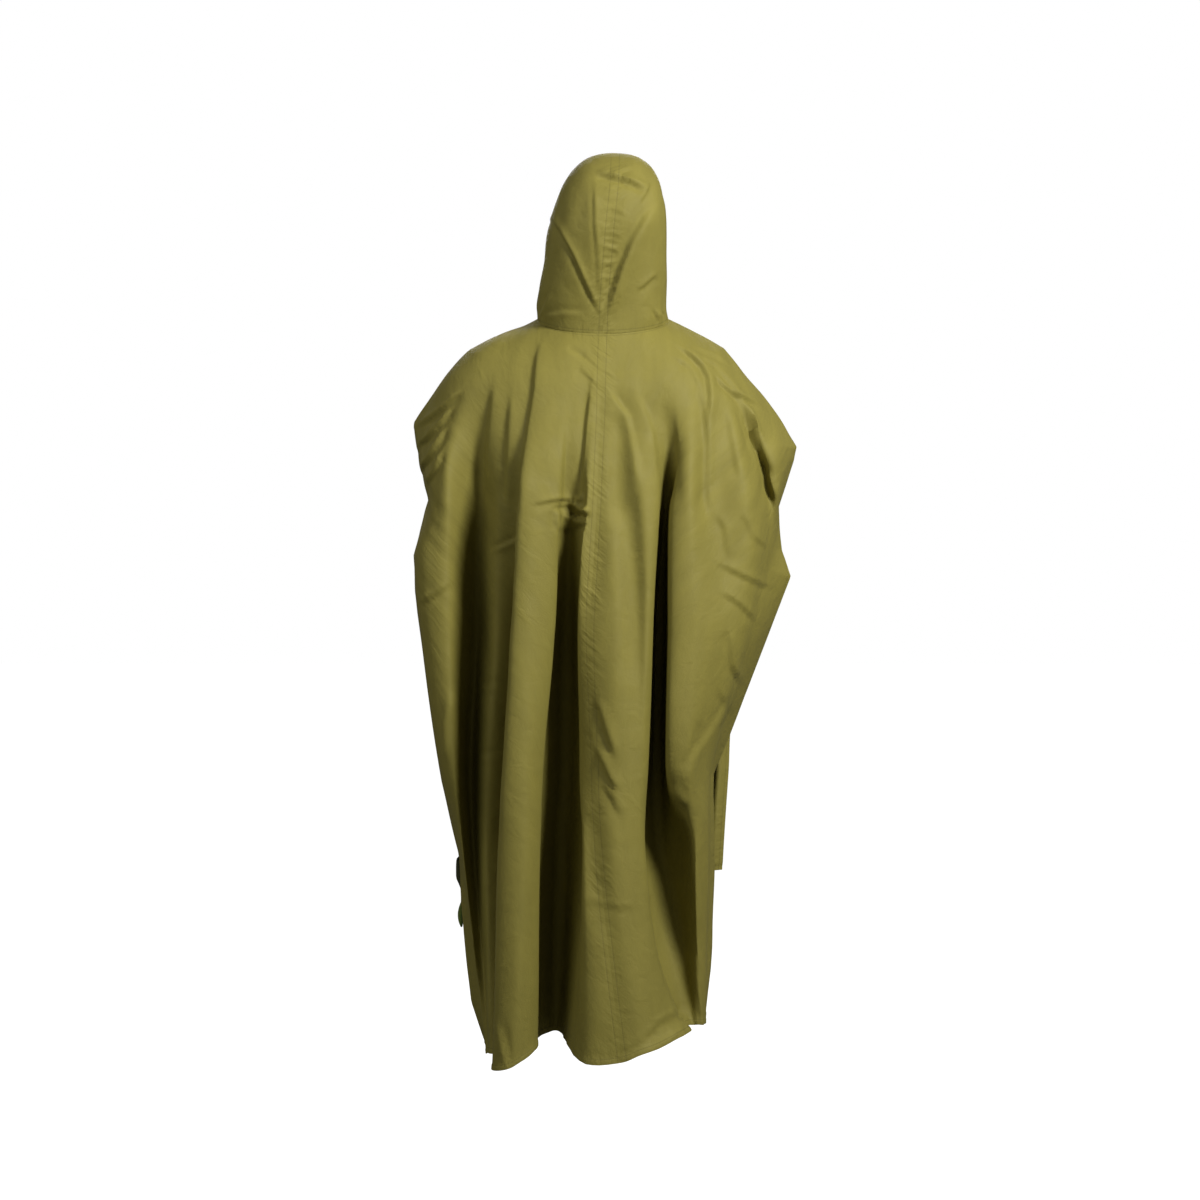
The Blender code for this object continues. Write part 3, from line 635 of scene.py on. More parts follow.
class Value:
    """An output of a shader node. Arithmetic with it adds Math nodes to the same tree."""

    def __init__(self, made, output=0):
        self.tree, self.socket = made.id_data, made.outputs[output]

    def maths(self, operation, *others):
        """What a Math node makes of this value and others, which may be numbers."""
        made = node(self.tree, "Math", operation=operation)
        for place, given in enumerate((self, *others)):
            feed(made.inputs[place], given)
        return Value(made)

    __abs__ = partialmethod(maths, "ABSOLUTE")
    __add__ = partialmethod(maths, "ADD")
    __sub__ = partialmethod(maths, "SUBTRACT")
    __mul__ = partialmethod(maths, "MULTIPLY")
    __truediv__ = partialmethod(maths, "DIVIDE")

    def mapped(self, low, high, to_low, to_high):
        """The value moved smoothly from one range to another, and kept in it."""
        ends = {"Value": self, "From Min": low, "From Max": high, "To Min": to_low, "To Max": to_high}
        return Value(node(self.tree, "MapRange", interpolation_type="SMOOTHSTEP", **ends))

    def mixed(self, first, second):
        """The colour that is this share of the way between two, each a colour or a Value."""
        made = node(self.tree, "Mix", data_type="RGBA", Factor=self, A=first, B=second)
        return Value(made, "Result")


def feed(socket, given):
    """Give an input of a node a number, a colour or a Value."""
    if isinstance(given, Value):
        socket.id_data.links.new(given.socket, socket)
    else:
        socket.default_value = given


def fitted(made, settings):
    """Set a shader node's attributes and inputs by name."""
    for key, given in settings.items():
        if hasattr(made, key):
            setattr(made, key, given)
        else:
            feed(made.inputs[key], given)
    return made


def node(tree, kind, **settings):
    """A new shader node of a kind, with its settings."""
    return fitted(tree.nodes.new("ShaderNode" + kind), settings)


def toned(colour, tone):
    """A colour made so much brighter or darker."""
    return (*[c * tone for c in colour], 1)


def effect_group(name, kind, inputs, outputs):
    """A new node group with inputs of one kind, its inputs' Values, and the node for its outputs."""
    group = bpy.data.node_groups.new(name, "ShaderNodeTree")
    for socket in inputs:
        group.interface.new_socket(socket, in_out="INPUT", socket_type="NodeSocket" + kind)
    for socket in outputs:
        group.interface.new_socket(socket, in_out="OUTPUT", socket_type="NodeSocketFloat")
    given = group.nodes.new("NodeGroupInput")
    return group, [Value(given, socket) for socket in inputs], group.nodes.new("NodeGroupOutput")


STITCH_LENGTH = 3.6 * MM
THREAD_CORE, THREAD_EDGE = 0.3 * MM, 0.9 * MM  # from the middle of a row of stitches
CHANNEL_WIDTH = 2.2 * MM  # the groove that a row of stitches pulls into the cloth
PUCKER_REACH = 26 * MM  # to each side of a row
PUCKER_SLANT = 0.7
PUCKERS_BESIDE, PUCKERS_AWAY = 80, 32  # waves in a metre along the edge, and away from it
PUCKER_PATCHES = 17  # in a metre: the puckers come and go
STITCH_HEIGHT, PUCKER_HEIGHT, CHANNEL_HEIGHT = 0.25, 6, -0.2  # in the height that Bump takes


def sewing_group():
    """A row of stitches beside an edge, and the puckers that it draws up.

    Distance is from the edge, Along is the way beside it, and Aside slants the puckers, in metres."""
    inputs = ("Distance", "Along", "Aside", "Offset", "Puckers")
    group, given, results = effect_group("sewing", "Float", inputs, ("Stitch", "Height"))
    distance, along, aside, offset, puckers = given
    off = abs(distance - offset)
    in_step = abs((along / STITCH_LENGTH).maths("FRACT") - 0.5)
    stitch = off.mapped(THREAD_CORE, THREAD_EDGE, 1, 0) * in_step.mapped(0.3, 0.42, 1, 0)
    beside = (aside * PUCKER_SLANT + along) * PUCKERS_BESIDE
    place = Value(node(group, "CombineXYZ", X=beside, Y=distance * PUCKERS_AWAY))
    wander = Value(node(group, "TexNoise", noise_dimensions="2D", Vector=place, Scale=1, Detail=2))
    thinned = {"W": along, "Scale": PUCKER_PATCHES, "Detail": 1}
    patches = Value(node(group, "TexNoise", noise_dimensions="1D", **thinned))
    drawn = patches.mapped(0.38, 0.62, 0.3, 1) * puckers
    pucker = (wander - 0.5) * off.mapped(0, PUCKER_REACH, 1, 0) * drawn
    height = pucker * PUCKER_HEIGHT + off.mapped(0, CHANNEL_WIDTH, CHANNEL_HEIGHT, 0)
    fitted(results, {"Stitch": stitch, "Height": stitch * STITCH_HEIGHT + height})
    return group


WARP_PITCH, WEFT_PITCH = 0.7 * MM, 0.8 * MM


def weave_group():
    """Plain weave, from a map in metres: its threads' height, long streaks that are partly the cloth's
    uneven tone and partly painted sheen, and a fine crumple.
    """
    outputs = ("Threads", "Patches", "Crumple")
    group, (place,), results = effect_group("plain weave", "Vector", ("Map",), outputs)
    split = node(group, "SeparateXYZ", Vector=place)
    warp = (Value(split, "X") * (math.tau / WARP_PITCH)).maths("SINE")
    weft = (Value(split, "Y") * (math.tau / WEFT_PITCH)).maths("SINE")
    stretch = Value(node(group, "Mapping", Vector=place, Scale=(30, 8, 1)))
    # long streaks down the cloth: partly its own uneven tone, partly painted sheen
    tone_and_sheen_streaks = node(group, "TexNoise", Vector=stretch, Scale=1, Detail=4, Roughness=0.6)
    small = {"Scale": 34, "Detail": 5, "Roughness": 0.55, "Distortion": 0.6}
    crumple = node(group, "TexNoise", Vector=place, **small)
    shades = {"Patches": Value(tone_and_sheen_streaks), "Crumple": Value(crumple)}
    fitted(results, {"Threads": warp * weft, **shades})
    return group


SEWING = sewing_group()
WEAVE = weave_group()
PUCKERS_FROM, PUCKERS_TO = 0.3, 0.75  # metres down a seam over which its puckers change strength


def sewn(distance, along, offset, puckers, **slant):
    """A row of stitches in a material, as its Stitch and Height."""
    drawn = along.mapped(PUCKERS_FROM, PUCKERS_TO, *puckers)
    values = {"Distance": distance, "Along": along, "Offset": offset, "Puckers": drawn, **slant}
    made = node(distance.tree, "Group", node_tree=SEWING, **values)
    return Value(made, "Stitch"), Value(made, "Height")


def uv(tree, name):
    """A map of a piece, and its two values."""
    place = Value(node(tree, "UVMap", uv_map=name))
    split = node(tree, "SeparateXYZ", Vector=place)
    return place, Value(split, "X"), Value(split, "Y")


def woven(tree, place):
    """The plain weave in a material, as its Threads, Patches and Crumple."""
    made = node(tree, "Group", node_tree=WEAVE, Map=place)
    return [Value(made, output) for output in ("Threads", "Patches", "Crumple")]


def new_material(name):
    """A new material, its node tree and its shader."""
    material = bpy.data.materials.new(name)
    material.use_nodes = True
    return material, material.node_tree, material.node_tree.nodes["Principled BSDF"]


CRUMPLE_HEIGHT, WEAVE_HEIGHT = 1.9, 0.04  # in the height that Bump takes
THREAD_TONE = 0.45  # of a row of stitches, beside the cloth's 1


def cloth_material(name, colour, rows):
    """Light coated cloth of plain weave, with rows of stitches.

    Each row is its map, which of the map's values is the distance from the edge, how far from that
    edge it is sewn, and how strongly it puckers near the neck and near the hem."""
    material, tree, shader = new_material(name)
    cut, cut_x, _ = uv(tree, "cut")
    threads, patches, crumple = woven(tree, cut)
    height = crumple * CRUMPLE_HEIGHT + threads * WEAVE_HEIGHT
    stitch = None
    for map_name, which, offset, puckers in rows:
        _, first, second = uv(tree, map_name)
        distance, along = ((first, second), (second, cut_x))[which]
        slant = {"Aside": cut_x} if (map_name, which) == ("seams", 0) else {}
        dashes, sewing = sewn(distance, along, offset, puckers, **slant)
        stitch = stitch.maths("MAXIMUM", dashes) if stitch else dashes
        height = height + sewing
    # the colour is lighter and darker in long streaks: partly the cloth's uneven tone, partly painted
    # sheen
    tone = patches.mapped(0.3, 0.7, 0, 1).mixed(toned(colour, 0.95), toned(colour, 1.05))
    bump = node(tree, "Bump", Strength=0.75, Distance=1.2 * MM, Height=height)
    finish = {
        "Base Color": (stitch * 0.55).mixed(tone, toned(colour, THREAD_TONE)),
        "Roughness": crumple.mapped(0.3, 0.7, 0.62, 0.74),
        "Specular IOR Level": 0.22,
        "Sheen Weight": 0.02,
        "Sheen Roughness": 0.45,
        "Sheen Tint": (0.55, 0.52, 0.25, 1),
        "Normal": Value(bump),
    }
    fitted(shader, finish)
    return material


OLIVE = (0.186, 0.160, 0.031)
poncho_cloth = cloth_material(
    "poncho_cloth",
    OLIVE,
    (
        # map, distance, offset, puckers
        ("seams", 0, 7 * MM, (0.6, 0.25)),
        ("seams", 1, 5 * MM, (0.3, 0.3)),
        ("hems", 0, 9 * MM, (0.4, 0.4)),
        ("hems", 1, 9 * MM, (0.5, 0.5)),
    ),
)

rings = fine_rings()
middle_fold = ("centre seam", 0, 0, FRONT_SEAM_STANDS_OUT)
back_steps = (*reversed(RIGHT_STEPS), *LEFT_STEPS)
back_lines, front_lines = [], []
for ring in rings:
    left = [back_point(fold, ring, 1) for fold in LEFT_FOLDS] + [back_edge_point(ring, 1)]
    right = [back_point(fold, ring, -1) for fold in RIGHT_FOLDS] + [back_edge_point(ring, -1)]
    back_lines.append(through([*reversed(right), *left], back_steps))
    ahead = [front_point(fold, ring, 1) for fold in (middle_fold, *FRONT_FOLDS_LEFT)]
    behind = [front_point(fold, ring, -1) for fold in FRONT_FOLDS_RIGHT]
    chain = [front_edge_point(ring, 1), *reversed(ahead), *behind, front_edge_point(ring, -1)]
    front_lines.append(through(chain, FRONT_STEPS))
back = np.array(back_lines)
front = np.array(front_lines)
joined = sum(ring[4] <= ARMHOLE_SECTION for ring in rings)  # rows where front and back are one
back_middle = sum(RIGHT_STEPS)
front_middle = sum(FRONT_STEPS[:8])

# Above the shoulder blades the folds run out, so the cloth there is drawn smooth, across and down.
SMOOTH_ABOVE, SMOOTH_ENDS = -80, -290  # heights where the back is fully smooth and where that ends
SMOOTH_COLUMNS, SMOOTH_ROWS = 14, 6
SHOULDER_REACH = 1.1  # sections to each side of the upper arm that are drawn smooth downwards
NECK_REACH = 0.5  # sections below the neck seam, where that grows in

falls = np.array([ring[0] for ring in rings])[:, None, None]
places = np.array([ring[4] for ring in rings])[:, None, None]
slack = eased((falls - SMOOTH_ENDS) / (SMOOTH_ABOVE - SMOOTH_ENDS))
back += (evened(back, SMOOTH_COLUMNS) - back) * slack
near = np.exp(-(((places - TOP_SECTION) / SHOULDER_REACH) ** 2))
near *= np.clip(places / NECK_REACH, 0, 1)
for grid in (back, front):
    grid += (evened(grid, SMOOTH_ROWS, axis=0) - grid) * near

BODY_WAVES = ((9, 2.2, 3.0), (24, 7, 1.3))
HEM_WAVES, HEM_WAVES_REACH = ((34, 1, 3.4),), 30 * MM
HEM_WIDTH, HEM_STEP, HEM_STANDS_OUT = 10 * MM, 2 * MM, 1.1 * MM
FLARE_STARTS, FLARE_ENDS = -35 * MM, -160 * MM  # the hem flares at the lower right of the back
FLARE_EASES_IN, FLARE_EASES_OUT = 50 * MM, 20 * MM
FLARE_HEIGHT, FLARE_OUT = 16 * MM, 10 * MM
GROWS_OVER = 50 * MM  # creases and waves grow in below the neck seam, over so much

for grid, middle, creases, seed in (
    (back, back_middle, BACK_CREASES, 1.7),
    (front, front_middle, FRONT_CREASES, 5.1),
):
    across = lengths(grid, 1)
    across -= across[:, middle : middle + 1]
    down = lengths(grid, 0)
    moved = creased(grid[..., 0], grid[..., 2], creases)
    moved += unevenness(across, down, BODY_WAVES, seed)
    from_hem = down[-1:] - down
    moved += np.clip((HEM_WIDTH - from_hem) / HEM_STEP, 0, 1) * HEM_STANDS_OUT
    moved += unevenness(across, down * 0, HEM_WAVES, seed + 3) * np.exp(-from_hem / HEM_WAVES_REACH)
    if grid is back:
        x = grid[..., 0]
        flared = np.clip((FLARE_STARTS - x) / FLARE_EASES_IN, 0, 1)
        flared *= np.clip((x - FLARE_ENDS) / FLARE_EASES_OUT, 0, 1)
        moved += FLARE_OUT * flared * np.exp(-((from_hem / FLARE_HEIGHT) ** 2))
    moved *= np.clip(down / GROWS_OVER, 0, 1)
    grid += out_of(grid) * moved[..., None]
front[:joined, 0] = back[:joined, -1]
front[:joined, -1] = back[:joined, 0]


NO_EDGE = 1.0  # metres from the nearest free edge, where front and back are one


def body_half(name, side):
    """One half of the body, from its centre back round the side to its centre front."""
    if side > 0:
        grid_back, grid_front = back[:, back_middle:], front[:, : front_middle + 1]
    else:
        grid_back, grid_front = back[:, : back_middle + 1], front[:, front_middle:]
    grids = (grid_back, 1), (grid_front, -1)
    numbers, maps, used = [], {"cut": [], "seams": [], "hems": []}, 0
    for grid, sign in grids:
        across, down = lengths(grid, 1), lengths(grid, 0)
        from_seam = across if sign == side else across[:, -1:] - across
        from_edge = across[:, -1:] - from_seam
        from_edge[:joined] = NO_EDGE
        numbers.append(used + numbered(grid))
        used += across.size
        maps["cut"].append(pairs(sign * side * from_seam, -sign * down))
        maps["seams"].append(pairs(from_seam, down))
        maps["hems"].append(pairs(from_edge, down[-1:] - down))
    shared = (-1, 0) if side > 0 else (0, -1)  # the columns that are one, down to the armhole's top
    numbers[1][:joined, shared[1]] = numbers[0][:joined, shared[0]]
    faces = np.concatenate([faces_between(grid) for grid in numbers])
    points = np.concatenate([grid.reshape(-1, 3) for grid, _ in grids])
    kept, place = np.unique(faces, return_inverse=True)
    maps = {key: np.concatenate(values)[kept] for key, values in maps.items()}
    faces = place.reshape(faces.shape)
    return cloth_piece(name, points[kept], faces, maps, CLOTH_THICK, poncho_cloth)


for name, side, cut_area in (("body_left_cloth", 1, 1.29), ("body_right_cloth", -1, 1.0)):
    half = body_half(name, side)
    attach(half, "root")
    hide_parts(name.removesuffix("_cloth"))


# ---- The hood -----------------------------------------------------------------------------------
# Two shaped pieces of the same cloth with a felled seam over the crown, sewn to the body at the neck.
# It stands over the head, and two soft folds run up its back from the nape.

# The hood's sections from the neck seam over the head to its front edge, in millimetres: the point on
# the crown seam, the middle and half width at the widest place, and the point on the face edge.
HOOD_SECTIONS = (
    # name       seam x    y    z   middle x    y    z   half   face x    y     z
    ("neck",         0,   85,   0,      0,      0,  36,  112,      4,   -85,  -40),
    ("collar",      -1,   91,  40,      3,      0,  58,  112,     40,  -108,   10),
    ("jaw",         -4,  102,  85,      0,      4,  90,  109,     68,  -114,   70),
    ("ear",         -8,  115, 130,     -3,      6, 128,  104,     78,  -112,  125),
    ("temple",     -12,  126, 180,     -5,      4, 168,  102,     80,  -110,  170),
    ("brow",       -18,  121, 236,     -8,     -2, 206,   97,     77,  -108,  208),
    ("upper",      -20,   92, 282,    -12,    -16, 236,   88,     72,  -107,  232),
    ("crown",      -21,   40, 311,    -16,    -38, 255,   77,     66,  -106,  247),
    ("top",        -21,  -20, 317,    -18,    -66, 264,   65,     60,  -105,  256),
    ("front edge", -20, -102, 290,    -20,   -105, 262,   50,     50,  -105,  262),
)
HOOD_ROWS = 13  # rows between two sections
HOOD_COLUMNS = 84  # from the seam to the face edge
HOOD_SQUARE = 0.78  # 1 gives a round hood; less gives it flatter sides and a flatter back
SQUARE_FROM = 2.5  # sections up from the neck
HOOD_SMOOTH_ROWS = 3
HOOD_GROWS_OVER = 20 * MM  # creases and waves grow in above the neck seam
HOOD_WAVES = ((14, 6, 2.4), (34, 16, 1.0))
BEHIND_FACE = -20 * MM  # how far forward the folds of its back reach, in Y
HOOD_FOLDS = (
    # two edges of cloth that meet at the nape in a V, and the fold that stands up between them
    (((3, 26), (14, 48), (28, 78), (50, 128), (66, 158), (80, 182), (94, 216)), 7, 3.6, 1.1),
    (((36, 70), (58, 118), (80, 160)), 16, 1.0),
    (((5, 36), (7, 90), (9, 139), (12, 177), (12, 250)), 19, 4.0),
    (((5, 44), (8, 90), (11, 139), (14, 177), (15, 250)), 6, 2.0, 1.5),
    (((-3, 28), (-14, 62), (-28, 105), (-46, 148), (-70, 190), (-92, 220)), 20, 6.0, 3.4),
    (((-5, 30), (-15, 62), (-29, 105), (-47, 148)), 8, 2.0, 2.6),
    # the tuck over the crown, and small creases
    (((-74, 233), (-48, 246), (-30, 252), (-10, 257), (16, 262)), 10, 6.6, 2.6),
    (((-50, 274), (-30, 268), (-22, 252)), 9, 2.0, 2),
    (((-62, 212), (-74, 232), (-81, 250)), 8, -2.5, 1.5),
    (((-58, 70), (-74, 84), (-90, 100)), 8, -2.6, 1.3),
    (((110, 34), (98, 54), (90, 72)), 8, 2.0, 2),
    (((-88, 10), (-92, 26), (-84, 44)), 5, 3.0, 1.2),
    (((-98, 10), (-102, 26), (-97, 44)), 5, -3.0, 1.2),
    (((104, 34), (70, 38), (30, 34)), 10, 1.2, 3),
    # the seam draws the cloth up into short puckers
    (((6, 250), (-16, 246), (-34, 247)), 4, 1.6, 1),
    (((2, 236), (-14, 238), (-30, 232)), 4, 1.4, 1),
    (((4, 218), (-12, 214), (-36, 216)), 5, -1.8, 1.2),
    (((2, 196), (-14, 198), (-38, 190)), 5, -1.6, 1.2),
    (((4, 176), (-10, 172), (-30, 176)), 4, 1.6, 1),
    (((3, 158), (-12, 160), (-32, 152)), 4, -1.8, 1),
    (((4, 146), (-10, 141), (-26, 140)), 4, 2.0, 1),
    (((2, 133), (-12, 135), (-28, 126)), 4, -1.8, 1),
    (((4, 120), (-8, 116), (-24, 117)), 4, 2.0, 1),
    (((2, 108), (-8, 110), (-20, 104)), 3.5, -1.8, 1),
    (((4, 96), (-6, 93), (-18, 95)), 3.5, 1.8, 1),
    (((3, 84), (-6, 86), (-16, 80)), 3.5, -1.6, 1),
    (((3, 72), (-5, 70), (-13, 72)), 3.5, 1.6, 1),
    (((3, 58), (-3, 59), (-9, 55)), 3.5, 1.4, 1),
)


def hood_row(section, up):
    """One row of the hood, so many sections up, from the right face edge over the seam to the left."""
    seam_x, seam_y, seam_z, mid_x, mid_y, mid_z, half, face_x, face_y, face_z = section
    seam, middle = Vector((seam_x, seam_y, seam_z)), Vector((mid_x, mid_y, mid_z))
    turn = math.pi - math.asin(min(1, face_x / half))
    angles = [turn * n / HOOD_COLUMNS for n in range(HOOD_COLUMNS + 1)]
    square = 1 + (HOOD_SQUARE - 1) * min(1, up / SQUARE_FROM)
    if up == 0:
        angles[round(math.pi / 2 / turn * HOOD_COLUMNS)] = math.pi / 2
    row = []
    for side, angle in [(-1, a) for a in reversed(angles)] + [(1, a) for a in angles[1:]]:
        sine, cosine = math.sin(angle), math.cos(angle)
        if angle < math.pi / 2:
            sine, cosine = sine**square, max(cosine, 0) ** square
        point = middle + Vector((side * half * sine, 0, 0))
        if angle < math.pi / 2:
            point += (seam - middle) * cosine
        elif face_x < half:
            ahead = Vector((0, face_y - mid_y, face_z - mid_z))
            point += ahead * (math.cos(angle) / math.cos(turn))
        row.append(point * MM)
    return row


_, *measures = zip(*HOOD_SECTIONS)
order = range(0, -len(HOOD_SECTIONS), -1)
hood_lines = []
for step in range((len(HOOD_SECTIONS) - 1) * HOOD_ROWS, -1, -1):
    up = step / HOOD_ROWS
    hood_lines.append(hood_row([smooth(-up, order, measure) for measure in measures], up))
hood = evened(np.array(hood_lines), HOOD_SMOOTH_ROWS, axis=0)
from_seam = lengths(hood, 1)
from_seam -= from_seam[:, HOOD_COLUMNS : HOOD_COLUMNS + 1]
down = lengths(hood, 0)
from_neck = down[-1:] - down
moved = np.where(hood[..., 1] > BEHIND_FACE, creased(hood[..., 0], hood[..., 2], HOOD_FOLDS), 0)
moved += unevenness(from_seam, down, HOOD_WAVES, seed=9.4)
moved *= np.clip(from_neck / HOOD_GROWS_OVER, 0, 1)
hood += out_of(hood) * moved[..., None]


def hood_half(name, columns):
    """One half of the hood, from its part of the columns."""
    grid = hood[:, columns]
    off = np.abs(from_seam[:, columns])
    face_edge = off.max(axis=1, keepdims=True) - off
    faces = faces_between(numbered(grid))
    maps = {
        "cut": pairs(from_seam[:, columns], from_neck[:, columns]),
        "seams": pairs(off, from_neck[:, columns]),
        "hems": pairs(face_edge, down[:, columns]),
    }
    return cloth_piece(name, grid.reshape(-1, 3), faces, maps, CLOTH_THICK, poncho_cloth)


for name, columns in (
    ("hood_right_cloth", slice(0, HOOD_COLUMNS + 1)),
    ("hood_left_cloth", slice(HOOD_COLUMNS, None)),
):
    half = hood_half(name, columns)
    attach(half, "root")
    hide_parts(name.removesuffix("_cloth"))


# ---- The side tie -------------------------------------------------------------------------------
# A narrow ribbed tape sewn over the open left side, from the back edge to the front edge. Its free end
# is sewn to its inner face, hangs beside the opening, and ends in a folded leaf of green cloth.
TIE_TOP = -880.2 * MM
TIE_WIDTH = 9 * MM
TIE_THICK = 1.0 * MM
TIE_OVERLAP = 15 * MM  # on the cloth at each side of the opening
TIE_OFF = TIE_THICK + 0.6 * MM  # from the cloth to the tape's outer face
TAPE_STEPS = (5, 5, 8, 8, 5, 5)  # columns of the tape, from the back over the opening to the front
STRIP_STEP, STRIP_COLUMNS = 1.6, 9  # of the strips that hang, in millimetres and in all
RIB_WIDTH = 0.2  # half the width of the leaf's middle fold, as a share of the strip's
TAPE_SLACK = Vector((0.8, 0, -0.8)) * MM  # of its middle
TAIL_Y = -50
TAIL_ROWS = (
    # height, how far in from the tape, width, and how far it is turned, in degrees
    (-881.5, -1.4, 9.0, 90),
    (-889.6, -1.4, 9.1, 87),
    (-893, -0.8, 9.2, 52),
    (-899, -0.2, 9.4, 20),
    (-912, 0.2, 9.4, 4),
    (-928, -0.4, 9.2, 0),
    (-938, -3.0, 6.4, -8),
    (-947, -5.2, 4.4, -14),
    (-960, -5.8, 4.2, -6),
    (-971.5, -5.6, 4.2, 0),
)
LEAF_ROWS = (
    (-970, -5.6, 4.6, 0),
    (-976, -4.8, 7.6, 4),
    (-984, -3.6, 9.4, 6),
    (-992, -3.0, 9.6, 4),
    (-1001, -3.4, 8.6, 0),
    (-1008, -4.2, 6.0, -4),
    (-1013, -4.8, 2.6, -6),
)


def tape_material(name, dark, light, rib):
    """Ribbed cloth sewn at its ends, with painted shade: its colour runs from dark at one edge to light
    at the other, and each rib is painted lighter and darker.
    """
    material, tree, shader = new_material(name)
    cut, across, along = uv(tree, "cut")
    _, from_end, beside = uv(tree, "ends")
    _, patches, crumple = woven(tree, cut)
    stitch, sewing = sewn(from_end, beside, 3 * MM, (0.1, 0.1))
    ribs = (along * (math.tau / rib)).maths("SINE")
    # painted shade across the width and along each rib, plus the weave's streaks of uneven tone and
    # painted sheen
    shade = across.mapped(1 * MM, 8 * MM, 0, 0.8) + ribs * 0.08 + patches.mapped(0.3, 0.7, -0.15, 0.2)
    height = ribs * 0.3 + crumple + sewing
    bump = node(tree, "Bump", Strength=0.7, Distance=0.5 * MM, Height=height)
    finish = {
        "Base Color": (shade - stitch).mixed(toned(dark, 1), toned(light, 1)),
        "Roughness": crumple.mapped(0.3, 0.7, 0.66, 0.84),
        "Specular IOR Level": 0.2,
        "Normal": Value(bump),
    }
    fitted(shader, finish)
    return material


# each gets a colour in painted shade for one edge and a lit colour for the other edge
tape_cloth = tape_material("tie_tape_cloth", (0.020, 0.023, 0.010), (0.070, 0.074, 0.030), 1.3 * MM)
leaf_cloth = tape_material("tie_leaf_cloth", (0.048, 0.078, 0.016), (0.165, 0.215, 0.036), 2.1 * MM)


def in_from_edge(grid, height):
    """Three places on the cloth at a height: at its first column, and further and further in."""
    row = int(np.argmin(np.abs(grid[:, 0, 2] - height)))
    line, out = grid[row], out_of(grid)[row]
    far = np.concatenate([[0], np.cumsum(np.linalg.norm(np.diff(line, axis=0), axis=1))])
    places = []
    for distance in (0, TIE_OVERLAP / 2, TIE_OVERLAP):
        place, way = [[np.interp(distance, far, of[:, k]) for k in range(3)] for of in (line, out)]
        places.append(Vector(place) + Vector(way).normalized() * TIE_OFF)
        places[-1].z += height - line[0, 2]
    return places


def hanging(rows, tape_x, crown, rib):
    """A narrow strip down through rows, crowned across, with a fold of so much down its middle."""
    heights = [row[0] for row in rows]
    grid = []
    for z in np.linspace(heights[0], heights[-1], round((heights[0] - heights[-1]) / STRIP_STEP)):
        inward, width, turned = [smooth(z, heights, [row[k] for row in rows]) for k in (1, 2, 3)]
        turned = math.radians(turned)
        line = []
        for t in np.linspace(-1, 1, STRIP_COLUMNS):
            off = crown * (1 - t * t) - rib * math.exp(-((t / RIB_WIDTH) ** 2))
            x = tape_x / MM + inward + math.cos(turned) * t * width / 2 - math.sin(turned) * off
            y = TAIL_Y + math.sin(turned) * t * width / 2 + math.cos(turned) * off
            line.append((x * MM, y * MM, z * MM))
        grid.append(line)
    return np.array(grid)


def strip(name, grid, lengthwise, thick, material):
    """A strip of tape or cloth through a grid of points; lengthwise is the axis that it runs along."""
    along, across = lengths(grid, lengthwise), lengths(grid, 1 - lengthwise)
    from_end = np.minimum(along, along.max() - along)
    maps = {"cut": pairs(across, along), "ends": pairs(from_end, across)}
    faces = faces_between(numbered(grid))
    piece = cloth_piece(name, grid.reshape(-1, 3), faces, maps, thick, material)
    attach(piece, "root")
    return piece


tape_lines = []
for share in (0, 0.25, 0.5, 0.75, 1):
    z = TIE_TOP - TIE_WIDTH * share
    behind, ahead = in_from_edge(back[:, ::-1], z), in_from_edge(front, z)
    middle = behind[0].lerp(ahead[0], 0.5) + TAPE_SLACK
    tape_lines.append(through([*reversed(behind), middle, *ahead], TAPE_STEPS))
tape_grid = np.array(tape_lines)
tape = strip("side_tie_tape", tape_grid, 1, TIE_THICK, tape_cloth)
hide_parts("side_tie")

tape_x = float(tape_grid[len(tape_grid) // 2, sum(TAPE_STEPS[:3]), 0])  # at the tape's middle
tail = strip("side_tie_tail_tape", hanging(TAIL_ROWS, tape_x, 0.3, 0), 0, TIE_THICK, tape_cloth)
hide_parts("side_tie_tail")

leaf = strip("side_tie_leaf", hanging(LEAF_ROWS, tape_x, 1.2, 0.5), 0, 0.9 * MM, leaf_cloth)
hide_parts("side_tie_end")


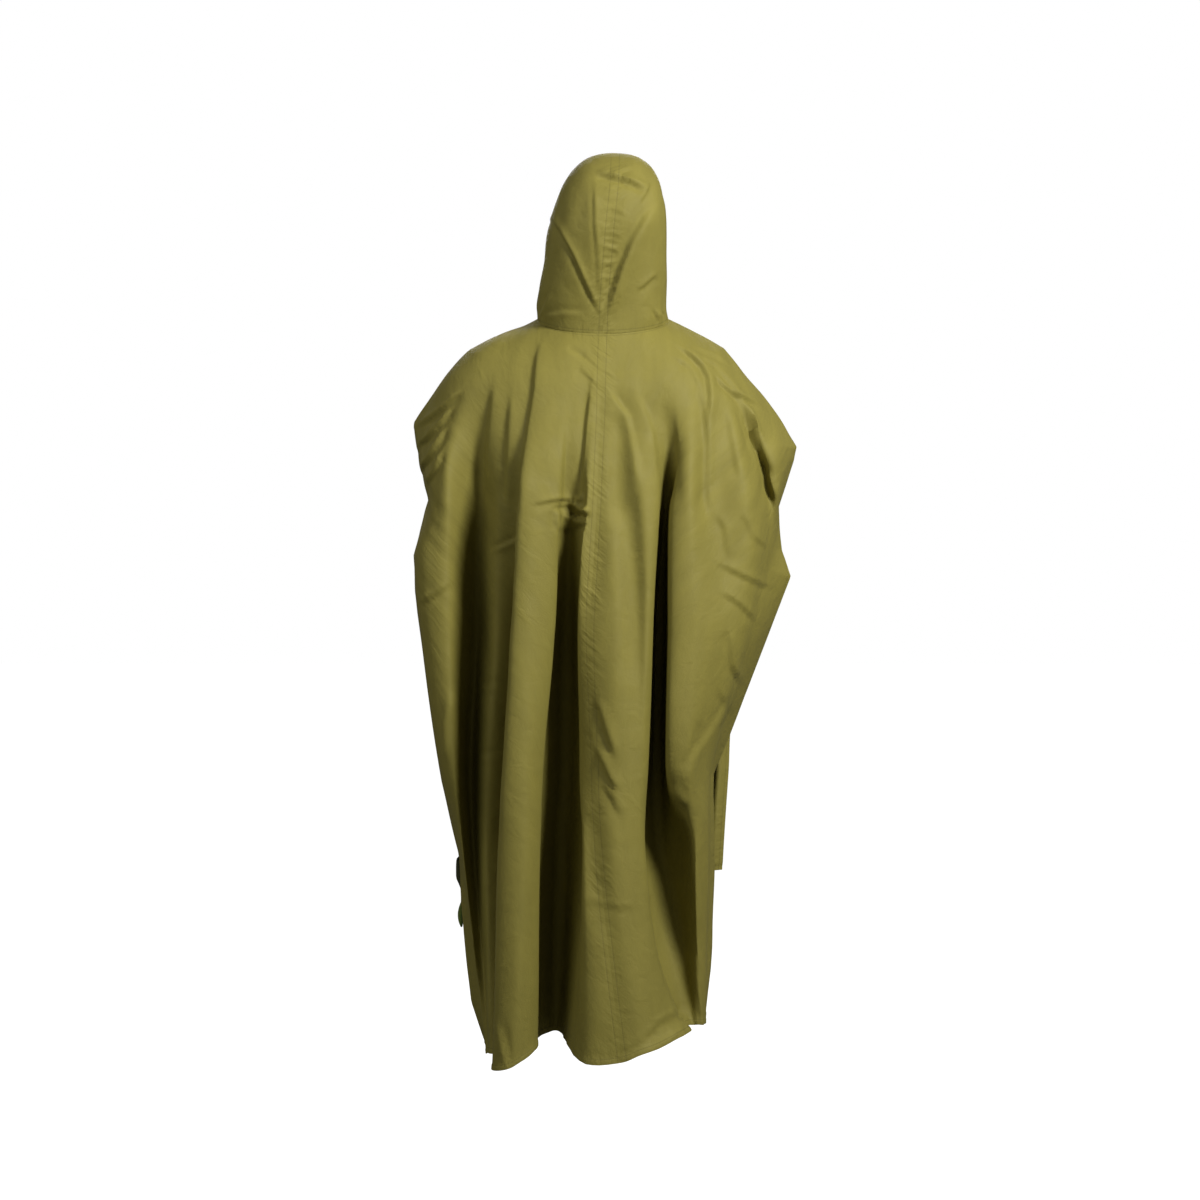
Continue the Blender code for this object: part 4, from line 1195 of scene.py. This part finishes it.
# ---- Floor and light ----------------------------------------------------------------------------
# A plain pale floor and surround, and a soft lamp on the right of the photograph, near enough that its
# light falls off towards the hem. Two weaker lamps light the left side and the front.
FLOOR_Z = -1.53
WHITE = 1.0  # how bright the floor and the surround look to the camera


def seen_as(tree, output, shown, other):
    """Shows the camera one shader, and all other rays another."""
    both = node(tree, "MixShader", Fac=Value(node(tree, "LightPath"), "Is Camera Ray"))
    feed(both.inputs[1], Value(other))
    feed(both.inputs[2], Value(shown))
    fitted(tree.nodes[output], {"Surface": Value(both)})


bpy.ops.mesh.primitive_plane_add(size=60, location=(0, 0, FLOOR_Z))
floor = bpy.context.object
floor.name = "floor"
pale, pale_tree, pale_shader = new_material("pale_floor")
shine = {"Emission Color": (1, 1, 1, 1), "Emission Strength": WHITE}
fitted(pale_shader, {"Base Color": (0.15, 0.15, 0.15, 1), "Roughness": 0.9, **shine})
dull = node(pale_tree, "BsdfDiffuse", Color=(0.12, 0.12, 0.11, 1))  # what it throws back on the cloth
seen_as(pale_tree, "Material Output", pale_shader, dull)
floor.data.materials.append(pale)

# Azimuth 0 shines on the back of the garment, and 90 on its right side.
for name, azimuth, elevation, distance, power, size in (
    ("key", 41, 24, 2.7, 114, 0.8),
    ("front_fill", 182, 25, 3.0, 70, 1.6),
    ("left_fill", 318, 22, 3.2, 38, 1.8),
):
    a, e = math.radians(azimuth), math.radians(elevation)
    away = Vector((-math.sin(a) * math.cos(e), math.cos(a) * math.cos(e), math.sin(e)))
    turned = (-away).to_track_quat("-Z", "Y").to_euler()
    bpy.ops.object.light_add(type="AREA", location=away * distance, rotation=turned)
    lamp = bpy.context.object
    lamp.name = name
    lamp.data.shape = "DISK"
    lamp.data.energy = power
    lamp.data.size = size

world = bpy.data.worlds.new("studio")
bpy.context.scene.world = world
world.use_nodes = True
studio = world.node_tree
sky = fitted(studio.nodes["Background"], {"Color": (1.0, 0.97, 0.92, 1), "Strength": 0.15})
seen_as(studio, "World Output", node(studio, "Background", Color=(1, 1, 1, 1), Strength=WHITE), sky)
bpy.context.scene.view_settings.view_transform = "Standard"
